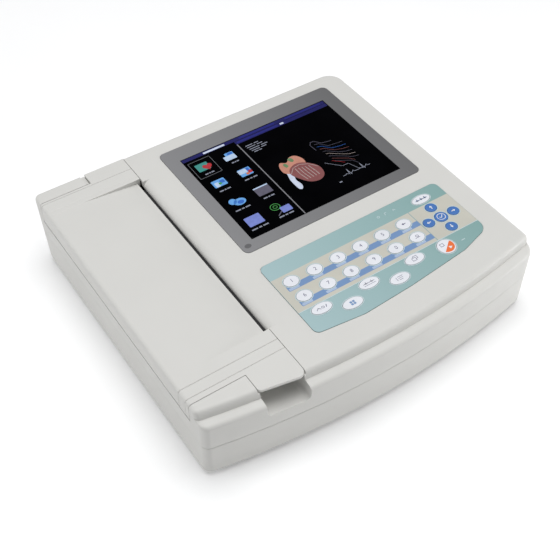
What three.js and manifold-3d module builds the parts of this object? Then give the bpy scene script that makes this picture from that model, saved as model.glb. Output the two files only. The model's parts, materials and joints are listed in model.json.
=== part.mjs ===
// Twelve-lead ECG machine: a flat desktop case with a recessed colour display, a membrane keypad and
// a roll-paper thermal printer under a side-hinged door.
// Millimetres, +Z up, +X right, -Y towards the user, origin on the desk under the middle of the case.
import * as THREE from "three";
import { mergeVertices } from "three/addons/utils/BufferGeometryUtils.js";
import Module from "manifold-3d";

const wasm = await Module();
wasm.setup();

// ---- driving dimensions ---------------------------------------------------------------------
const GAP = 0.3;                      // running and assembly gap between neighbouring pieces
const WALL = 2.5;
const CASE = { left: -176, right: 176, back: 163, front: -165, bottom: 4, parting: 41, deck: 80 };
const FRONT_ARC = { apexX: 7, twoR: 1768 };       // the front wall bulges towards the user
const STEP = { apexX: 20, y: -151.5, ledge: 70.5 };  // the deck ends behind a ledge along the front
const DECK_THICK = 3;
const FLOOR = 3;

const DOOR = {
  front: -125.3, rear: 147.3, seam: -80.6,
  slotFront: -96.3, slotRear: 127, lip: -83.4, lipTop: 74.5, slopeStart: -146,
  tongueLeft: -122.6, tongueFront: -147, tongueRear: 162, thick: 2.8,
};
const HINGE = { x: -173.2, z: 63.4, knuckle: 2.8, rod: 1.2, bore: 1.45, reach: 7 };
const RECESS = { left: -124.2, right: -82.6, back: -128, floor: 56.5 };
const REAR_NOTCH = { left: -125.4, floor: 72 };

const DISPLAY = { left: -50.3, right: 151.5, front: -14.7, rear: 146, radius: 6, top: 80.5 };
const WINDOW = { left: -36.1, right: 136.3, front: -1.8, rear: 127.5 };
const PAD = { left: -51.2, right: 150.5, rear: -35, radius: 6, top: 80.4, thick: 0.9, rim: 3 };
const KEY = { top: 81.1, bottom: 78.5, clearance: 0.35, chamfer: 0.6 };

const PAPER = { front: -93, rear: 117, x: -127, z: 36.5, radius: 22, coreRadius: 7, coreBore: 4 };
const TRAY = { left: -167, right: -84, front: -99, rear: 121.5, bottom: 9, top: 54, wall: 2 };
const PLATEN = { x: -88.4, z: 65, sleeve: 6.3, shaft: 2.4, front: -94, rear: 118 };
const CHEEK = { thick: 2.5, front: -98.9, rear: 119.5, left: -96, right: -83.6, bottom: 60 };
const TRAIN = { module: 1, face: 3.8, y: 122.6, platenTeeth: 12, driveTeeth: 17, pinionTeeth: 10 };
const MOTOR = { half: 17, depth: 20, front: 129.6, plate: 1.6, angle: -38 };
const HEAD = { left: -81.8, right: -78.4, bottom: 56, top: 70.5 };
const SINK = { left: -78.1, right: -73.5, bottom: 20, top: 72 };

const INLET = { x: 18, z: 25, width: 28, height: 20, depth: 20, cavity: 15 };
const SWITCH = { x: 62, y: 160.5, z: 25, width: 18, radius: 6.5, face: 4.5 };
const FUSE = { x: 92, z: 25, radius: 5.5 };
const POST = { x: 120, z: 25, radius: 4.2 };
const LEAD = { y: -45, z: 33, width: 40, height: 13, depth: 9 };
const USB = { y: 20, z: 30, width: 15, height: 8, depth: 14 };
const LAN = { y: 50, z: 30, width: 17, height: 14, depth: 16 };
const PANEL = { front: -70, rear: 64, bottom: 20 };  // plate in the right wall that carries the ports
const BATTERY = { left: 62, right: 148, front: 36, rear: 112, bottom: 8, top: 30 };
const FOOT = { radius: 9, stem: 3, inset: 30, stemTop: 9 };

// ---- materials ------------------------------------------------------------------------------
function finish(color, roughness, metalness = 0) {
  return new THREE.MeshStandardMaterial({ color, roughness, metalness });
}
const LOOK = {
  casing: () => finish(0xd7d6d1, 0.5),
  bezel: () => finish(0x8c8c8e, 0.4),
  glass: () => finish(0x0a0b10, 0.1),
  teal: () => finish(0xa3c0c0, 0.45),
  key: () => finish(0xeef0f2, 0.4),
  blueKey: () => finish(0x4f7fb8, 0.4),
  orangeKey: () => finish(0xf0824f, 0.4),
  rubber: () => finish(0x2a2a2c, 0.85),
  steel: () => finish(0xb4b6ba, 0.3, 1),
  brass: () => finish(0xc8a24e, 0.35, 1),
  board: () => finish(0x1f5a38, 0.6),
  black: () => finish(0x1a1a1c, 0.5),
  white: () => finish(0xf4f2ec, 0.9),
  nylon: () => finish(0xe6e2d4, 0.5),
  battery: () => finish(0x2f5fa0, 0.5),
  alloy: () => finish(0xa8abb0, 0.4, 1),
};

// ---- solids ---------------------------------------------------------------------------------
function solid(geometry) {
  const bare = geometry.clone();
  bare.deleteAttribute("normal");
  bare.deleteAttribute("uv");
  const merged = mergeVertices(bare, 1e-4);
  return new wasm.Manifold(new wasm.Mesh({
    numProp: 3,
    vertProperties: new Float32Array(merged.attributes.position.array),
    triVerts: new Uint32Array(merged.index.array),
  }));
}

function box(x0, x1, y0, y1, z0, z1) {
  const geometry = new THREE.BoxGeometry(x1 - x0, y1 - y0, z1 - z0);
  return solid(geometry.translate((x0 + x1) / 2, (y0 + y1) / 2, (z0 + z1) / 2));
}

function extrude(shape, depth, curveSegments = 4) {
  return new THREE.ExtrudeGeometry(shape, { depth, bevelEnabled: false, curveSegments });
}

/** Prism of an (x, y) outline from z0 to z1. */
function prismZ(shape, z0, z1, curveSegments) {
  return solid(extrude(shape, z1 - z0, curveSegments).translate(0, 0, z0));
}

/** Prism of an (x, z) outline from y0 to y1. */
function prismY(shape, y0, y1, curveSegments) {
  return solid(extrude(shape, y1 - y0, curveSegments).rotateX(Math.PI / 2).translate(0, y1, 0));
}

/** Prism of a (y, z) outline from x0 to x1. */
function prismX(shape, x0, x1, curveSegments) {
  const basis = new THREE.Matrix4().makeBasis(
    new THREE.Vector3(0, 1, 0), new THREE.Vector3(0, 0, 1), new THREE.Vector3(1, 0, 0));
  return solid(extrude(shape, x1 - x0, curveSegments).applyMatrix4(basis).translate(x0, 0, 0));
}

/** Cylinder along Y, centred on (x, z). */
function rodY(radius, x, z, y0, y1, sides = 20) {
  const geometry = new THREE.CylinderGeometry(radius, radius, y1 - y0, sides);
  return solid(geometry.translate(x, (y0 + y1) / 2, z));
}

/** Closed outline through corners [x, y, radius], rounded where the radius is not zero. */
function outline(corners) {
  const shape = new THREE.Shape();
  const count = corners.length;
  corners.forEach(([x, y, radius = 0], i) => {
    const corner = new THREE.Vector2(x, y);
    const before = new THREE.Vector2(...corners[(i + count - 1) % count]);
    const after = new THREE.Vector2(...corners[(i + 1) % count]);
    const start = before.sub(corner).setLength(radius).add(corner);
    const end = after.sub(corner).setLength(radius).add(corner);
    if (i === 0) shape.moveTo(start.x, start.y);
    else shape.lineTo(start.x, start.y);
    if (radius > 0) shape.quadraticCurveTo(x, y, end.x, end.y);
  });
  shape.closePath();
  return shape;
}

function roundedRect(x0, x1, y0, y1, radius) {
  return outline([[x0, y0, radius], [x1, y0, radius], [x1, y1, radius], [x0, y1, radius]]);
}

function part(name, body, material) {
  const { vertProperties, triVerts } = body.getMesh();
  const geometry = new THREE.BufferGeometry();
  geometry.setAttribute("position", new THREE.BufferAttribute(vertProperties, 3));
  geometry.setIndex(new THREE.BufferAttribute(triVerts, 1));
  geometry.computeVertexNormals();
  const mesh = new THREE.Mesh(geometry, material);
  mesh.name = name;
  return mesh;
}

// ---- plan outlines of the case --------------------------------------------------------------
const frontY = (x) => CASE.front + (x - FRONT_ARC.apexX) ** 2 / FRONT_ARC.twoR;
const stepY = (x) => STEP.y + (x - STEP.apexX) ** 2 / FRONT_ARC.twoR;
const STATIONS = [-130, -85, -40, FRONT_ARC.apexX, 52, 97, 142];

/** Case outline, inset from the outer walls, with its front edge on the given curve. */
function caseOutline(inset, curve = frontY) {
  const left = CASE.left + inset;
  const right = CASE.right - inset;
  const front = (x) => curve(x) + inset;
  return outline([
    [left, front(left), Math.max(8 - inset, 1)],
    ...STATIONS.map((x) => [x, front(x)]),
    [right, front(right), Math.max(12 - inset, 1)],
    [right, CASE.back - inset, 17 - inset],
    [left, CASE.back - inset, 10 - inset],
  ]);
}

/** Plan outline that the door's top follows; grow makes the matching opening in the case. */
function doorOutline(grow = 0, left = CASE.left) {
  return outline([
    [left, DOOR.front - grow],
    [DOOR.tongueLeft - grow, DOOR.front - grow],
    [DOOR.tongueLeft - grow, DOOR.tongueFront + 5 - grow, grow > 0 ? 0 : 2],
    [DOOR.seam - GAP + grow, DOOR.tongueFront - grow, grow > 0 ? 0 : 6],
    [DOOR.seam - GAP + grow, DOOR.tongueRear + grow],
    [DOOR.tongueLeft - grow, DOOR.tongueRear + grow],
    [DOOR.tongueLeft - grow, DOOR.rear + grow],
    [left, DOOR.rear + grow],
  ]);
}

// ---- keypad layout --------------------------------------------------------------------------
const NUMBER_X = [-35.6, -10.4, 14.8, 39.9, 64.9, 89.9];
const NAV = { x: 125.1, y: -75.3, reach: 14.7 };

function keyLayout() {
  const keys = [];
  const add = (name, x, y, rx, ry, look = "key") => keys.push({ name: `key_${name}`, x, y, rx, ry, look });
  ["1", "2", "3", "4", "5", "upper_function"].forEach((name, i) => add(name, NUMBER_X[i], -63.5, 7.4, 6));
  ["6", "7", "8", "9", "0", "lower_function"].forEach((name, i) => add(name, NUMBER_X[i], -83.3, 7.4, 6));
  const lowerRow = [[-31.3, -103.1], [-5.9, -113.3], [19.3, -103], [45.2, -113.7], [70.6, -102.9]];
  ["mode", "menu", "lead", "gain", "copy"].forEach((name, i) => add(name, ...lowerRow[i], 10, 5.6));
  add("start_stop", 104.2, -107, 8.8, 8.6, "orangeKey");
  add("reset", 124.4, -46.8, 10, 5);
  add("ok", NAV.x, NAV.y, 6.6, 6.2);
  add("right", NAV.x + NAV.reach, NAV.y, 5.8, 5.4, "blueKey");
  add("left", NAV.x - NAV.reach, NAV.y, 5.8, 5.4, "blueKey");
  add("up", NAV.x, NAV.y + NAV.reach, 5.8, 5.4, "blueKey");
  add("down", NAV.x, NAV.y - NAV.reach, 5.8, 5.4, "blueKey");
  return keys;
}

function padOutline(inset) {
  return outline([
    [PAD.left + inset, -123 + inset, PAD.radius],
    [-4, -128.4 + inset],
    [49.5, -125.6 + inset],
    [116, -119 + inset],
    [PAD.right - inset, -109 + inset, 12],
    [PAD.right - inset, PAD.rear - inset, PAD.radius],
    [PAD.left + inset, PAD.rear - inset, PAD.radius],
  ]);
}

function ellipseDisc(x, y, rx, ry, z0, z1, sides = 16) {
  const geometry = new THREE.CylinderGeometry(1, 1, z1 - z0, sides).rotateX(Math.PI / 2);
  return solid(geometry.scale(rx, ry, 1).translate(x, y, (z0 + z1) / 2));
}

function makeKey({ name, x, y, rx, ry, look }) {
  const { top, bottom, chamfer } = KEY;
  const profile = [[0, bottom], [1, bottom], [1, top - chamfer], [0.9, top], [0, top]];
  const geometry = new THREE.LatheGeometry(profile.map((p) => new THREE.Vector2(...p)), 16);
  geometry.rotateX(Math.PI / 2).scale(rx, ry, 1).translate(x, y, 0);
  return part(name, solid(geometry), LOOK[look]());
}

function makeMembrane() {
  let sheet = prismZ(padOutline(0), PAD.top - PAD.thick, PAD.top);
  for (const key of keyLayout()) {
    const clear = KEY.clearance;
    const hole = ellipseDisc(key.x, key.y, key.rx + clear, key.ry + clear, KEY.bottom, KEY.top);
    sheet = sheet.subtract(hole);
  }
  return part("keypad_membrane", sheet, LOOK.teal());
}

function makeKeypadBoard() {
  const board = prismZ(padOutline(PAD.rim + 1), 76, 77.6).add(box(-20, 20, -90, -70, 73, 76.2));
  return part("keypad_board", board, LOOK.board());
}

// ---- case shells ----------------------------------------------------------------------------
function windowInRightWall(port, margin = GAP) {
  const half = port.width / 2 + margin;
  const halfHeight = port.height / 2 + margin;
  return box(CASE.right - WALL - 1, CASE.right + 1,
    port.y - half, port.y + half, port.z - halfHeight, port.z + halfHeight);
}

function windowInBackWall(x, z, halfWidth, halfHeight) {
  return box(x - halfWidth - GAP, x + halfWidth + GAP,
    CASE.back - WALL - 1, CASE.back + 1, z - halfHeight - GAP, z + halfHeight + GAP);
}

function footPlaces() {
  const { inset } = FOOT;
  return [
    ["foot_front_left", CASE.left + inset, -118], ["foot_front_right", CASE.right - inset, -118],
    ["foot_rear_left", CASE.left + inset, CASE.back - inset],
    ["foot_rear_right", CASE.right - inset, CASE.back - inset],
  ];
}

function makeLowerCasing() {
  let shell = prismZ(caseOutline(0), CASE.bottom, CASE.parting);
  shell = shell.subtract(prismZ(caseOutline(WALL), CASE.bottom + FLOOR, CASE.parting + 1));
  shell = shell.subtract(prismZ(roundedRect(
    BATTERY.left - 4, BATTERY.right + 4, BATTERY.front - 4, BATTERY.rear + 4, 4), 3, 8));
  for (const [, x, y] of footPlaces()) {
    shell = shell.subtract(ellipseDisc(x, y, FOOT.stem + GAP, FOOT.stem + GAP, 3, 8, 12));
  }
  shell = shell.subtract(windowInBackWall(INLET.x, INLET.z, INLET.width / 2, INLET.height / 2));
  shell = shell.subtract(windowInBackWall(SWITCH.x, SWITCH.z, SWITCH.width / 2, SWITCH.radius));
  shell = shell.subtract(rodY(FUSE.radius + GAP, FUSE.x, FUSE.z, CASE.back - WALL - 1, CASE.back + 1, 16));
  shell = shell.subtract(rodY(POST.radius - 1, POST.x, POST.z, CASE.back - WALL - 1, CASE.back + 1, 12));
  shell = shell.subtract(box(CASE.right - WALL - 1, CASE.right + 1,
    PANEL.front - GAP, PANEL.rear + GAP, PANEL.bottom - GAP, CASE.parting + 1));
  return part("lower_casing", shell, LOOK.casing());
}

function makePortPanel() {
  let plate = box(CASE.right - WALL, CASE.right, PANEL.front, PANEL.rear, PANEL.bottom, CASE.parting);
  for (const port of [LEAD, USB, LAN]) plate = plate.subtract(windowInRightWall(port));
  return part("port_panel", plate, LOOK.casing());
}

function fingerRecessWalls() {
  const { left, right, back, floor } = RECESS;
  const deckUnder = CASE.deck - DECK_THICK;
  return box(left - WALL, right + WALL, CASE.front + 3, back + WALL, floor - WALL, deckUnder + 0.5)
    .intersect(prismZ(caseOutline(0.1), floor - WALL, deckUnder + 0.5));
}

/** Blocks inside the left wall, one at each end of the door, that carry the hinge rod. */
function hingeBlocks() {
  const reach = HINGE.reach + 1.5;
  const block = (y0, y1) => box(CASE.left + 1, CASE.left + 8, y0, y1, 57, 68.5);
  return block(DOOR.front - GAP - reach, DOOR.front - GAP)
    .add(block(DOOR.rear + GAP, DOOR.rear + GAP + reach));
}

function makeUpperCasing() {
  const bottom = CASE.parting + GAP;
  const ledgeUnder = STEP.ledge - DECK_THICK;
  const above = CASE.deck + 1;
  const deckUnder = CASE.deck - DECK_THICK;
  let shell = prismZ(caseOutline(0), bottom, STEP.ledge)
    .add(prismZ(caseOutline(0, stepY), STEP.ledge - 1, CASE.deck));
  shell = shell.subtract(prismZ(caseOutline(WALL), bottom - 1, ledgeUnder));
  shell = shell.subtract(prismZ(caseOutline(WALL, stepY), ledgeUnder - 1, deckUnder));
  shell = shell.add(fingerRecessWalls()).add(hingeBlocks());
  shell = shell.subtract(
    box(RECESS.left, RECESS.right, CASE.front - 1, RECESS.back, RECESS.floor, above));
  shell = shell.subtract(prismZ(doorOutline(GAP, CASE.left - 1), deckUnder - 0.5, above));
  shell = shell.subtract(
    box(CASE.left - 1, DOOR.seam, RECESS.back + WALL, DOOR.rear + GAP, 59, CASE.deck));
  shell = shell.subtract(
    box(CASE.left - 1, CASE.left + 4, DOOR.front - GAP, DOOR.rear + GAP, 60.2, CASE.deck));
  shell = shell.subtract(
    box(REAR_NOTCH.left, DOOR.seam, DOOR.rear + 1, CASE.back + 1, REAR_NOTCH.floor, above));
  const slotEdge = outline([
    [DOOR.seam - 1, above], [DOOR.seam - 1, 74], [DOOR.seam, 74], [-75, 78.8], [-73, above]]);
  shell = shell.subtract(prismY(slotEdge, DOOR.slotFront, DOOR.slotRear - 6));
  shell = shell.subtract(prismZ(roundedRect(DISPLAY.left - GAP, DISPLAY.right + GAP,
    DISPLAY.front - GAP, DISPLAY.rear + GAP, DISPLAY.radius), deckUnder - 1, above));
  shell = shell.subtract(prismZ(padOutline(-GAP), PAD.top - PAD.thick - GAP, above));
  shell = shell.subtract(prismZ(padOutline(PAD.rim), deckUnder - 1, above));
  const reach = HINGE.reach + 0.5;
  shell = shell.subtract(
    rodY(HINGE.rod + 0.15, HINGE.x, HINGE.z, DOOR.front - reach, DOOR.rear + reach, 12));
  return part("upper_casing", shell, LOOK.casing());
}

function makeFoot([name, x, y]) {
  const flare = 1;
  const profile = [
    [0, 0], [FOOT.radius - flare, 0], [FOOT.radius, CASE.bottom - GAP],
    [FOOT.stem, CASE.bottom - GAP], [FOOT.stem, FOOT.stemTop], [0, FOOT.stemTop],
  ];
  const geometry = new THREE.LatheGeometry(profile.map((p) => new THREE.Vector2(...p)), 20);
  return part(name, solid(geometry.rotateX(Math.PI / 2).translate(x, y, 0)), LOOK.rubber());
}

function makeBatteryDoor() {
  const margin = 4 - GAP;
  const cover = prismZ(roundedRect(BATTERY.left - margin, BATTERY.right + margin,
    BATTERY.front - margin, BATTERY.rear + margin, 4), CASE.bottom, CASE.bottom + FLOOR - 0.4);
  return part("battery_door", cover, LOOK.casing());
}

// ---- display --------------------------------------------------------------------------------
function makeDisplay() {
  const { left, right, front, rear, radius, top } = DISPLAY;
  const inner = (grow) => roundedRect(WINDOW.left - grow, WINDOW.right + grow,
    WINDOW.front - grow, WINDOW.rear + grow, 2);
  const ring = prismZ(roundedRect(left, right, front, rear, radius), top - 3.4, top)
    .subtract(prismZ(inner(0), top - 4, top + 1))
    .subtract(prismZ(inner(4), top - 4, top - 1.8));
  const lens = prismZ(inner(4 - GAP), top - 3.2, top - 2.1).add(prismZ(inner(-GAP), top - 3.2, top - GAP));
  const moduleBody = box(left + 8, right - 8, front + 7.7, rear - 7, 67, 76.4)
    .add(box(left + 40, left + 90, front + 30, front + 80, 64, 67.2));
  return [
    part("display_bezel", ring, LOOK.bezel()),
    part("display_lens", lens, LOOK.glass()),
    part("display_module", moduleBody, LOOK.alloy()),
  ];
}

// ---- printer door ---------------------------------------------------------------------------
/** The door's section between its two flat end strips: skirt, flat crown and a slope to the lip. */
function doorSection() {
  const { thick, lip, lipTop, slopeStart } = DOOR;
  const under = CASE.deck - thick;
  return outline([
    [CASE.left, HINGE.z], [CASE.left + 2 * HINGE.knuckle, HINGE.z],
    [CASE.left + 2 * HINGE.knuckle, HINGE.z + 4], [CASE.left + thick, HINGE.z + 8],
    [CASE.left + thick, under], [slopeStart, under],
    [lip, lipTop - thick], [lip, lipTop], [slopeStart, CASE.deck], [CASE.left, CASE.deck, 3.5],
  ]);
}

function makePrinterDoor() {
  const { thick, front, rear, slotFront, slotRear } = DOOR;
  const strips = prismZ(doorOutline(), CASE.deck - thick, CASE.deck)
    .subtract(box(DOOR.slopeStart, DOOR.seam + 1, slotFront, slotRear, 60, CASE.deck + 1));
  let door = prismY(doorSection(), front, rear)
    .subtract(box(DOOR.slopeStart - 1, -60, front - 1, slotFront - 1, 60, CASE.deck + 1))
    .subtract(box(DOOR.slopeStart - 1, -60, slotRear + 1, rear + 1, 60, CASE.deck + 1));
  door = door.add(strips);
  const edge = rodY(HINGE.knuckle, HINGE.x, HINGE.z, front, rear, 20);
  door = door.add(edge).intersect(prismY(outline([
    [CASE.left, 50], [-60, 50], [-60, CASE.deck], [CASE.left, CASE.deck, 3.5]]), -170, 170));
  for (const y of [slotFront - 1.8, slotRear]) {
    door = door.add(box(-122, DOOR.seam - 3.2, y, y + 1.8, CASE.deck - 7, CASE.deck - 1));
  }
  for (const y of [CHEEK.front, CHEEK.rear]) {
    door = door.add(box(CHEEK.left, CHEEK.right, y, y + CHEEK.thick, CHEEK.bottom, 74));
  }
  door = door.subtract(rodY(PLATEN.shaft + 0.15, PLATEN.x, PLATEN.z, -103, 123, 16));
  door = door.subtract(rodY(HINGE.bore, HINGE.x, HINGE.z, front - 1, rear + 1, 12));
  return part("printer_door", door, LOOK.casing());
}

// ---- printer mechanism ----------------------------------------------------------------------
/** Spur gear along Y with straight-flanked teeth; turn rotates it about its own axis. */
function gear(teeth, x, z, bore, turn) {
  const pitch = teeth * TRAIN.module / 2;
  const tip = pitch + 0.85 * TRAIN.module;
  const root = pitch - 1.15 * TRAIN.module;
  const shape = new THREE.Shape();
  const step = 2 * Math.PI / teeth;
  for (let i = 0; i < teeth; i += 1) {
    const middle = turn + i * step;
    const flank = [[root, -0.3], [tip, -0.11], [tip, 0.11], [root, 0.3]];
    flank.forEach(([radius, share], k) => {
      const angle = middle + share * step;
      const point = [x + radius * Math.cos(angle), z + radius * Math.sin(angle)];
      if (i + k === 0) shape.moveTo(...point);
      else shape.lineTo(...point);
    });
  }
  shape.closePath();
  const blank = prismY(shape, TRAIN.y, TRAIN.y + TRAIN.face);
  return blank.subtract(rodY(bore, x, z, TRAIN.y - 1, TRAIN.y + TRAIN.face + 1, 12));
}

const meshDistance = (a, b) => (a + b) * TRAIN.module / 2 + 0.25;
const driveCentre = { x: PLATEN.x, z: PLATEN.z - meshDistance(TRAIN.platenTeeth, TRAIN.driveTeeth) };
const motorAngle = THREE.MathUtils.degToRad(MOTOR.angle);
const motorReach = meshDistance(TRAIN.driveTeeth, TRAIN.pinionTeeth);
const motorCentre = {
  x: driveCentre.x + motorReach * Math.cos(motorAngle),
  z: driveCentre.z + motorReach * Math.sin(motorAngle),
};

function makePlaten() {
  const { x, z, sleeve, shaft, front, rear } = PLATEN;
  const tube = rodY(sleeve, x, z, front, rear, 28)
    .subtract(rodY(shaft + GAP, x, z, front - 1, rear + 1, 16));
  const drive = TRAIN.platenTeeth;
  return [
    part("platen_shaft", rodY(shaft, x, z, -100.5, TRAIN.y + TRAIN.face, 16), LOOK.steel()),
    part("platen_sleeve", tube, LOOK.rubber()),
    part("platen_gear", gear(drive, x, z, shaft + 0.2, -Math.PI / 2 + Math.PI / drive), LOOK.nylon()),
  ];
}

function makeDriveTrain() {
  const { x, z } = driveCentre;
  const teeth = TRAIN.driveTeeth;
  const step = 2 * Math.PI / teeth;
  const pinionStep = 2 * Math.PI / TRAIN.pinionTeeth;
  const driveTurn = Math.PI / 2;
  const offset = (motorAngle - driveTurn) / step;
  const pinionTurn = motorAngle + Math.PI + (0.5 + offset) * pinionStep;
  const pinion = gear(TRAIN.pinionTeeth, motorCentre.x, motorCentre.z, 1, pinionTurn)
    .add(rodY(1.8, motorCentre.x, motorCentre.z, TRAIN.y, MOTOR.front + 6, 16));
  return [
    part("drive_gear", gear(teeth, x, z, 2.2, driveTurn), LOOK.nylon()),
    part("motor_pinion", pinion, LOOK.brass()),
  ];
}

function makeMotor() {
  const { half, depth, front, plate } = MOTOR;
  const { x, z } = motorCentre;
  const body = prismY(roundedRect(x - half, x + half, z - half, z + half, 5), front, front + depth);
  const flange = prismY(
    roundedRect(x - half - 6, x + half, z - half, driveCentre.z + 6, 3), front - plate, front + 0.1);
  const stud = rodY(2, driveCentre.x, driveCentre.z, TRAIN.y - 1, front, 12);
  const motor = body.add(flange).add(stud)
    .subtract(rodY(2.1, x, z, front - plate - 1, front + 7, 16));
  return part("stepper_motor", motor, LOOK.black());
}

function makePaperPath() {
  const { left, right, front, rear, bottom, top, wall } = TRAY;
  let tray = box(left, right, front, rear, bottom, top)
    .subtract(box(left + wall, right - wall, front + wall, rear - wall, bottom + wall, top + 1));
  const slotHalf = PAPER.coreBore;
  for (const y of [front - 1, rear - wall - 1]) {
    tray = tray.subtract(
      box(PAPER.x - slotHalf, PAPER.x + slotHalf, y, y + wall + 2, PAPER.z - slotHalf, top + 1));
  }
  const roll = rodY(PAPER.radius, PAPER.x, PAPER.z, PAPER.front, PAPER.rear, 32)
    .subtract(rodY(PAPER.coreRadius + GAP, PAPER.x, PAPER.z, PAPER.front - 1, PAPER.rear + 1, 20));
  const core = rodY(PAPER.coreRadius, PAPER.x, PAPER.z, PAPER.front - 1, PAPER.rear + 1, 20)
    .add(rodY(PAPER.coreBore - 0.5, PAPER.x, PAPER.z, front + 0.2, rear - 0.2, 12));
  return [
    part("paper_tray", tray, LOOK.black()),
    part("paper_roll", roll, LOOK.white()),
    part("paper_core", core, LOOK.nylon()),
  ];
}

function makePrintHead() {
  const front = PLATEN.front;
  const rear = PLATEN.rear;
  const sinkFoot = box(SINK.left, SINK.right + 14, front + 10, rear - 10, SINK.bottom - 2, SINK.bottom + 1);
  const sink = box(SINK.left, SINK.right, front, rear, SINK.bottom, SINK.top).add(sinkFoot);
  const head = box(HEAD.left, HEAD.right, front, rear, HEAD.bottom, HEAD.top);
  return [
    part("thermal_print_head", head, LOOK.white()),
    part("head_bracket", sink, LOOK.alloy()),
  ];
}

function makeHingeRod() {
  const { x, z, rod, reach } = HINGE;
  return part("hinge_rod", rodY(rod, x, z, DOOR.front - reach, DOOR.rear + reach, 12), LOOK.steel());
}

// ---- electronics ----------------------------------------------------------------------------
function makeElectronics() {
  const mainboard = box(-62, 150, -128, 22, 12, 13.6)
    .add(box(-10, 20, -80, -50, 13, 17))
    .add(box(60, 84, -70, -40, 13, 16))
    .add(box(120, 144, -60, -30, 13, 24));
  const supply = box(-55, 50, 40, 140, 12, 13.6)
    .add(box(-45, -10, 60, 95, 13, 40))
    .add(box(10, 40, 70, 90, 13, 34))
    .add(box(-50, -30, 105, 130, 13, 32));
  const battery = prismX(roundedRect(BATTERY.front, BATTERY.rear, BATTERY.bottom, BATTERY.top, 5),
    BATTERY.left, BATTERY.right);
  return [
    part("mainboard", mainboard, LOOK.board()),
    part("power_supply_board", supply, LOOK.board()),
    part("battery_pack", battery, LOOK.battery()),
  ];
}

// ---- sockets and rear fittings --------------------------------------------------------------
function makePorts() {
  const back = CASE.back + 2;
  const halfW = INLET.width / 2;
  const halfH = INLET.height / 2;
  const rim = 3;
  const inlet = box(INLET.x - halfW, INLET.x + halfW, back - INLET.depth, back,
    INLET.z - halfH, INLET.z + halfH)
    .add(box(INLET.x - halfW - rim, INLET.x + halfW + rim, CASE.back + GAP, back,
      INLET.z - halfH - rim, INLET.z + halfH + rim))
    .subtract(box(INLET.x - 12, INLET.x + 12, back - INLET.cavity, back + 1, INLET.z - 8, INLET.z + 8));
  const fuse = rodY(FUSE.radius, FUSE.x, FUSE.z, CASE.back - 14, CASE.back + 0.5, 20)
    .add(rodY(FUSE.radius + 2, FUSE.x, FUSE.z, CASE.back + GAP, CASE.back + 1.6, 20));
  const post = rodY(POST.radius - 1.3, POST.x, POST.z, CASE.back - 10, CASE.back + 1, 12)
    .add(rodY(POST.radius, POST.x, POST.z, CASE.back + GAP, CASE.back + 2, 6));
  const socket = (port, border) => box(CASE.right - 0.2 - port.depth, CASE.right - 0.2,
    port.y - port.width / 2, port.y + port.width / 2, port.z - port.height / 2, port.z + port.height / 2)
    .subtract(box(CASE.right + 1.2 - port.depth, CASE.right + 1,
      port.y - port.width / 2 + border, port.y + port.width / 2 - border,
      port.z - port.height / 2 + border, port.z + port.height / 2 - border));
  return [
    part("mains_inlet", inlet, LOOK.black()),
    part("fuse_cap", fuse, LOOK.black()),
    part("equipotential_post", post, LOOK.brass()),
    part("lead_connector", socket(LEAD, 1.6), LOOK.steel()),
    part("usb_port", socket(USB, 1), LOOK.steel()),
    part("network_port", socket(LAN, 1.2), LOOK.steel()),
  ];
}

function makePowerSwitch() {
  const { x, y, z, width, radius, face } = SWITCH;
  const roller = new THREE.CylinderGeometry(radius, radius, width - 2 * GAP, 24).rotateZ(Math.PI / 2);
  const rocker = solid(roller.translate(x, y, z))
    .subtract(box(x - width, x + width, y + face, y + 2 * radius, z - 2 * radius, z + 2 * radius))
    .subtract(box(x - width, x + width, y - 2 * radius, y - face, z - 2 * radius, z + 2 * radius));
  return part("power_switch", rocker, LOOK.black());
}

// ---- assembly -------------------------------------------------------------------------------
const machine = new THREE.Group();
machine.name = "ecg_machine";
machine.add(
  makeUpperCasing(), makeLowerCasing(), makePortPanel(), makeBatteryDoor(),
  ...footPlaces().map(makeFoot),
  ...makeDisplay(), makeMembrane(), makeKeypadBoard(), ...keyLayout().map(makeKey),
  makePrinterDoor(), makeHingeRod(), ...makePlaten(), ...makeDriveTrain(), makeMotor(),
  ...makePaperPath(), ...makePrintHead(), ...makeElectronics(), ...makePorts(), makePowerSwitch(),
);

export default machine;
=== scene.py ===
import json
import math

import bmesh
import bpy
from mathutils import Matrix, Vector


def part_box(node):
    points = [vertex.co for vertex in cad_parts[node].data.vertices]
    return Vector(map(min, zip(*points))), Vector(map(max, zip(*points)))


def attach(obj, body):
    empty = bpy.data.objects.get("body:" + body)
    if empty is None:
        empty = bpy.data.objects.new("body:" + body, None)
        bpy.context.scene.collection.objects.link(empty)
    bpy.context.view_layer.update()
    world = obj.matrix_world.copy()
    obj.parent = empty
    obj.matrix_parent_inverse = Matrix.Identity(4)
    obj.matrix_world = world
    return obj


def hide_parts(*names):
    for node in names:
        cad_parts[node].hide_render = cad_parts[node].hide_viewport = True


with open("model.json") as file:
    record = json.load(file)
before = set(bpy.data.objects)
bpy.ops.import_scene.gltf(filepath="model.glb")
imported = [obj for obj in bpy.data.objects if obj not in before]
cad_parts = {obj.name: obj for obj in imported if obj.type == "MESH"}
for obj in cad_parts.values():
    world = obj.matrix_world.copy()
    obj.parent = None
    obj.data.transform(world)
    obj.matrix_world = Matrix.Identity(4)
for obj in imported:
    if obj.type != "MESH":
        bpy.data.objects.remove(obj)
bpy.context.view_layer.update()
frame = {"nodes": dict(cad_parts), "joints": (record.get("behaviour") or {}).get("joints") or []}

MM = 0.001


def span(node):
    """Lowest and highest corner of a CAD node, in millimetres."""
    low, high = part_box(node)
    return low / MM, high / MM


def centre_of(node):
    low, high = span(node)
    return (low + high) / 2


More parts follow.
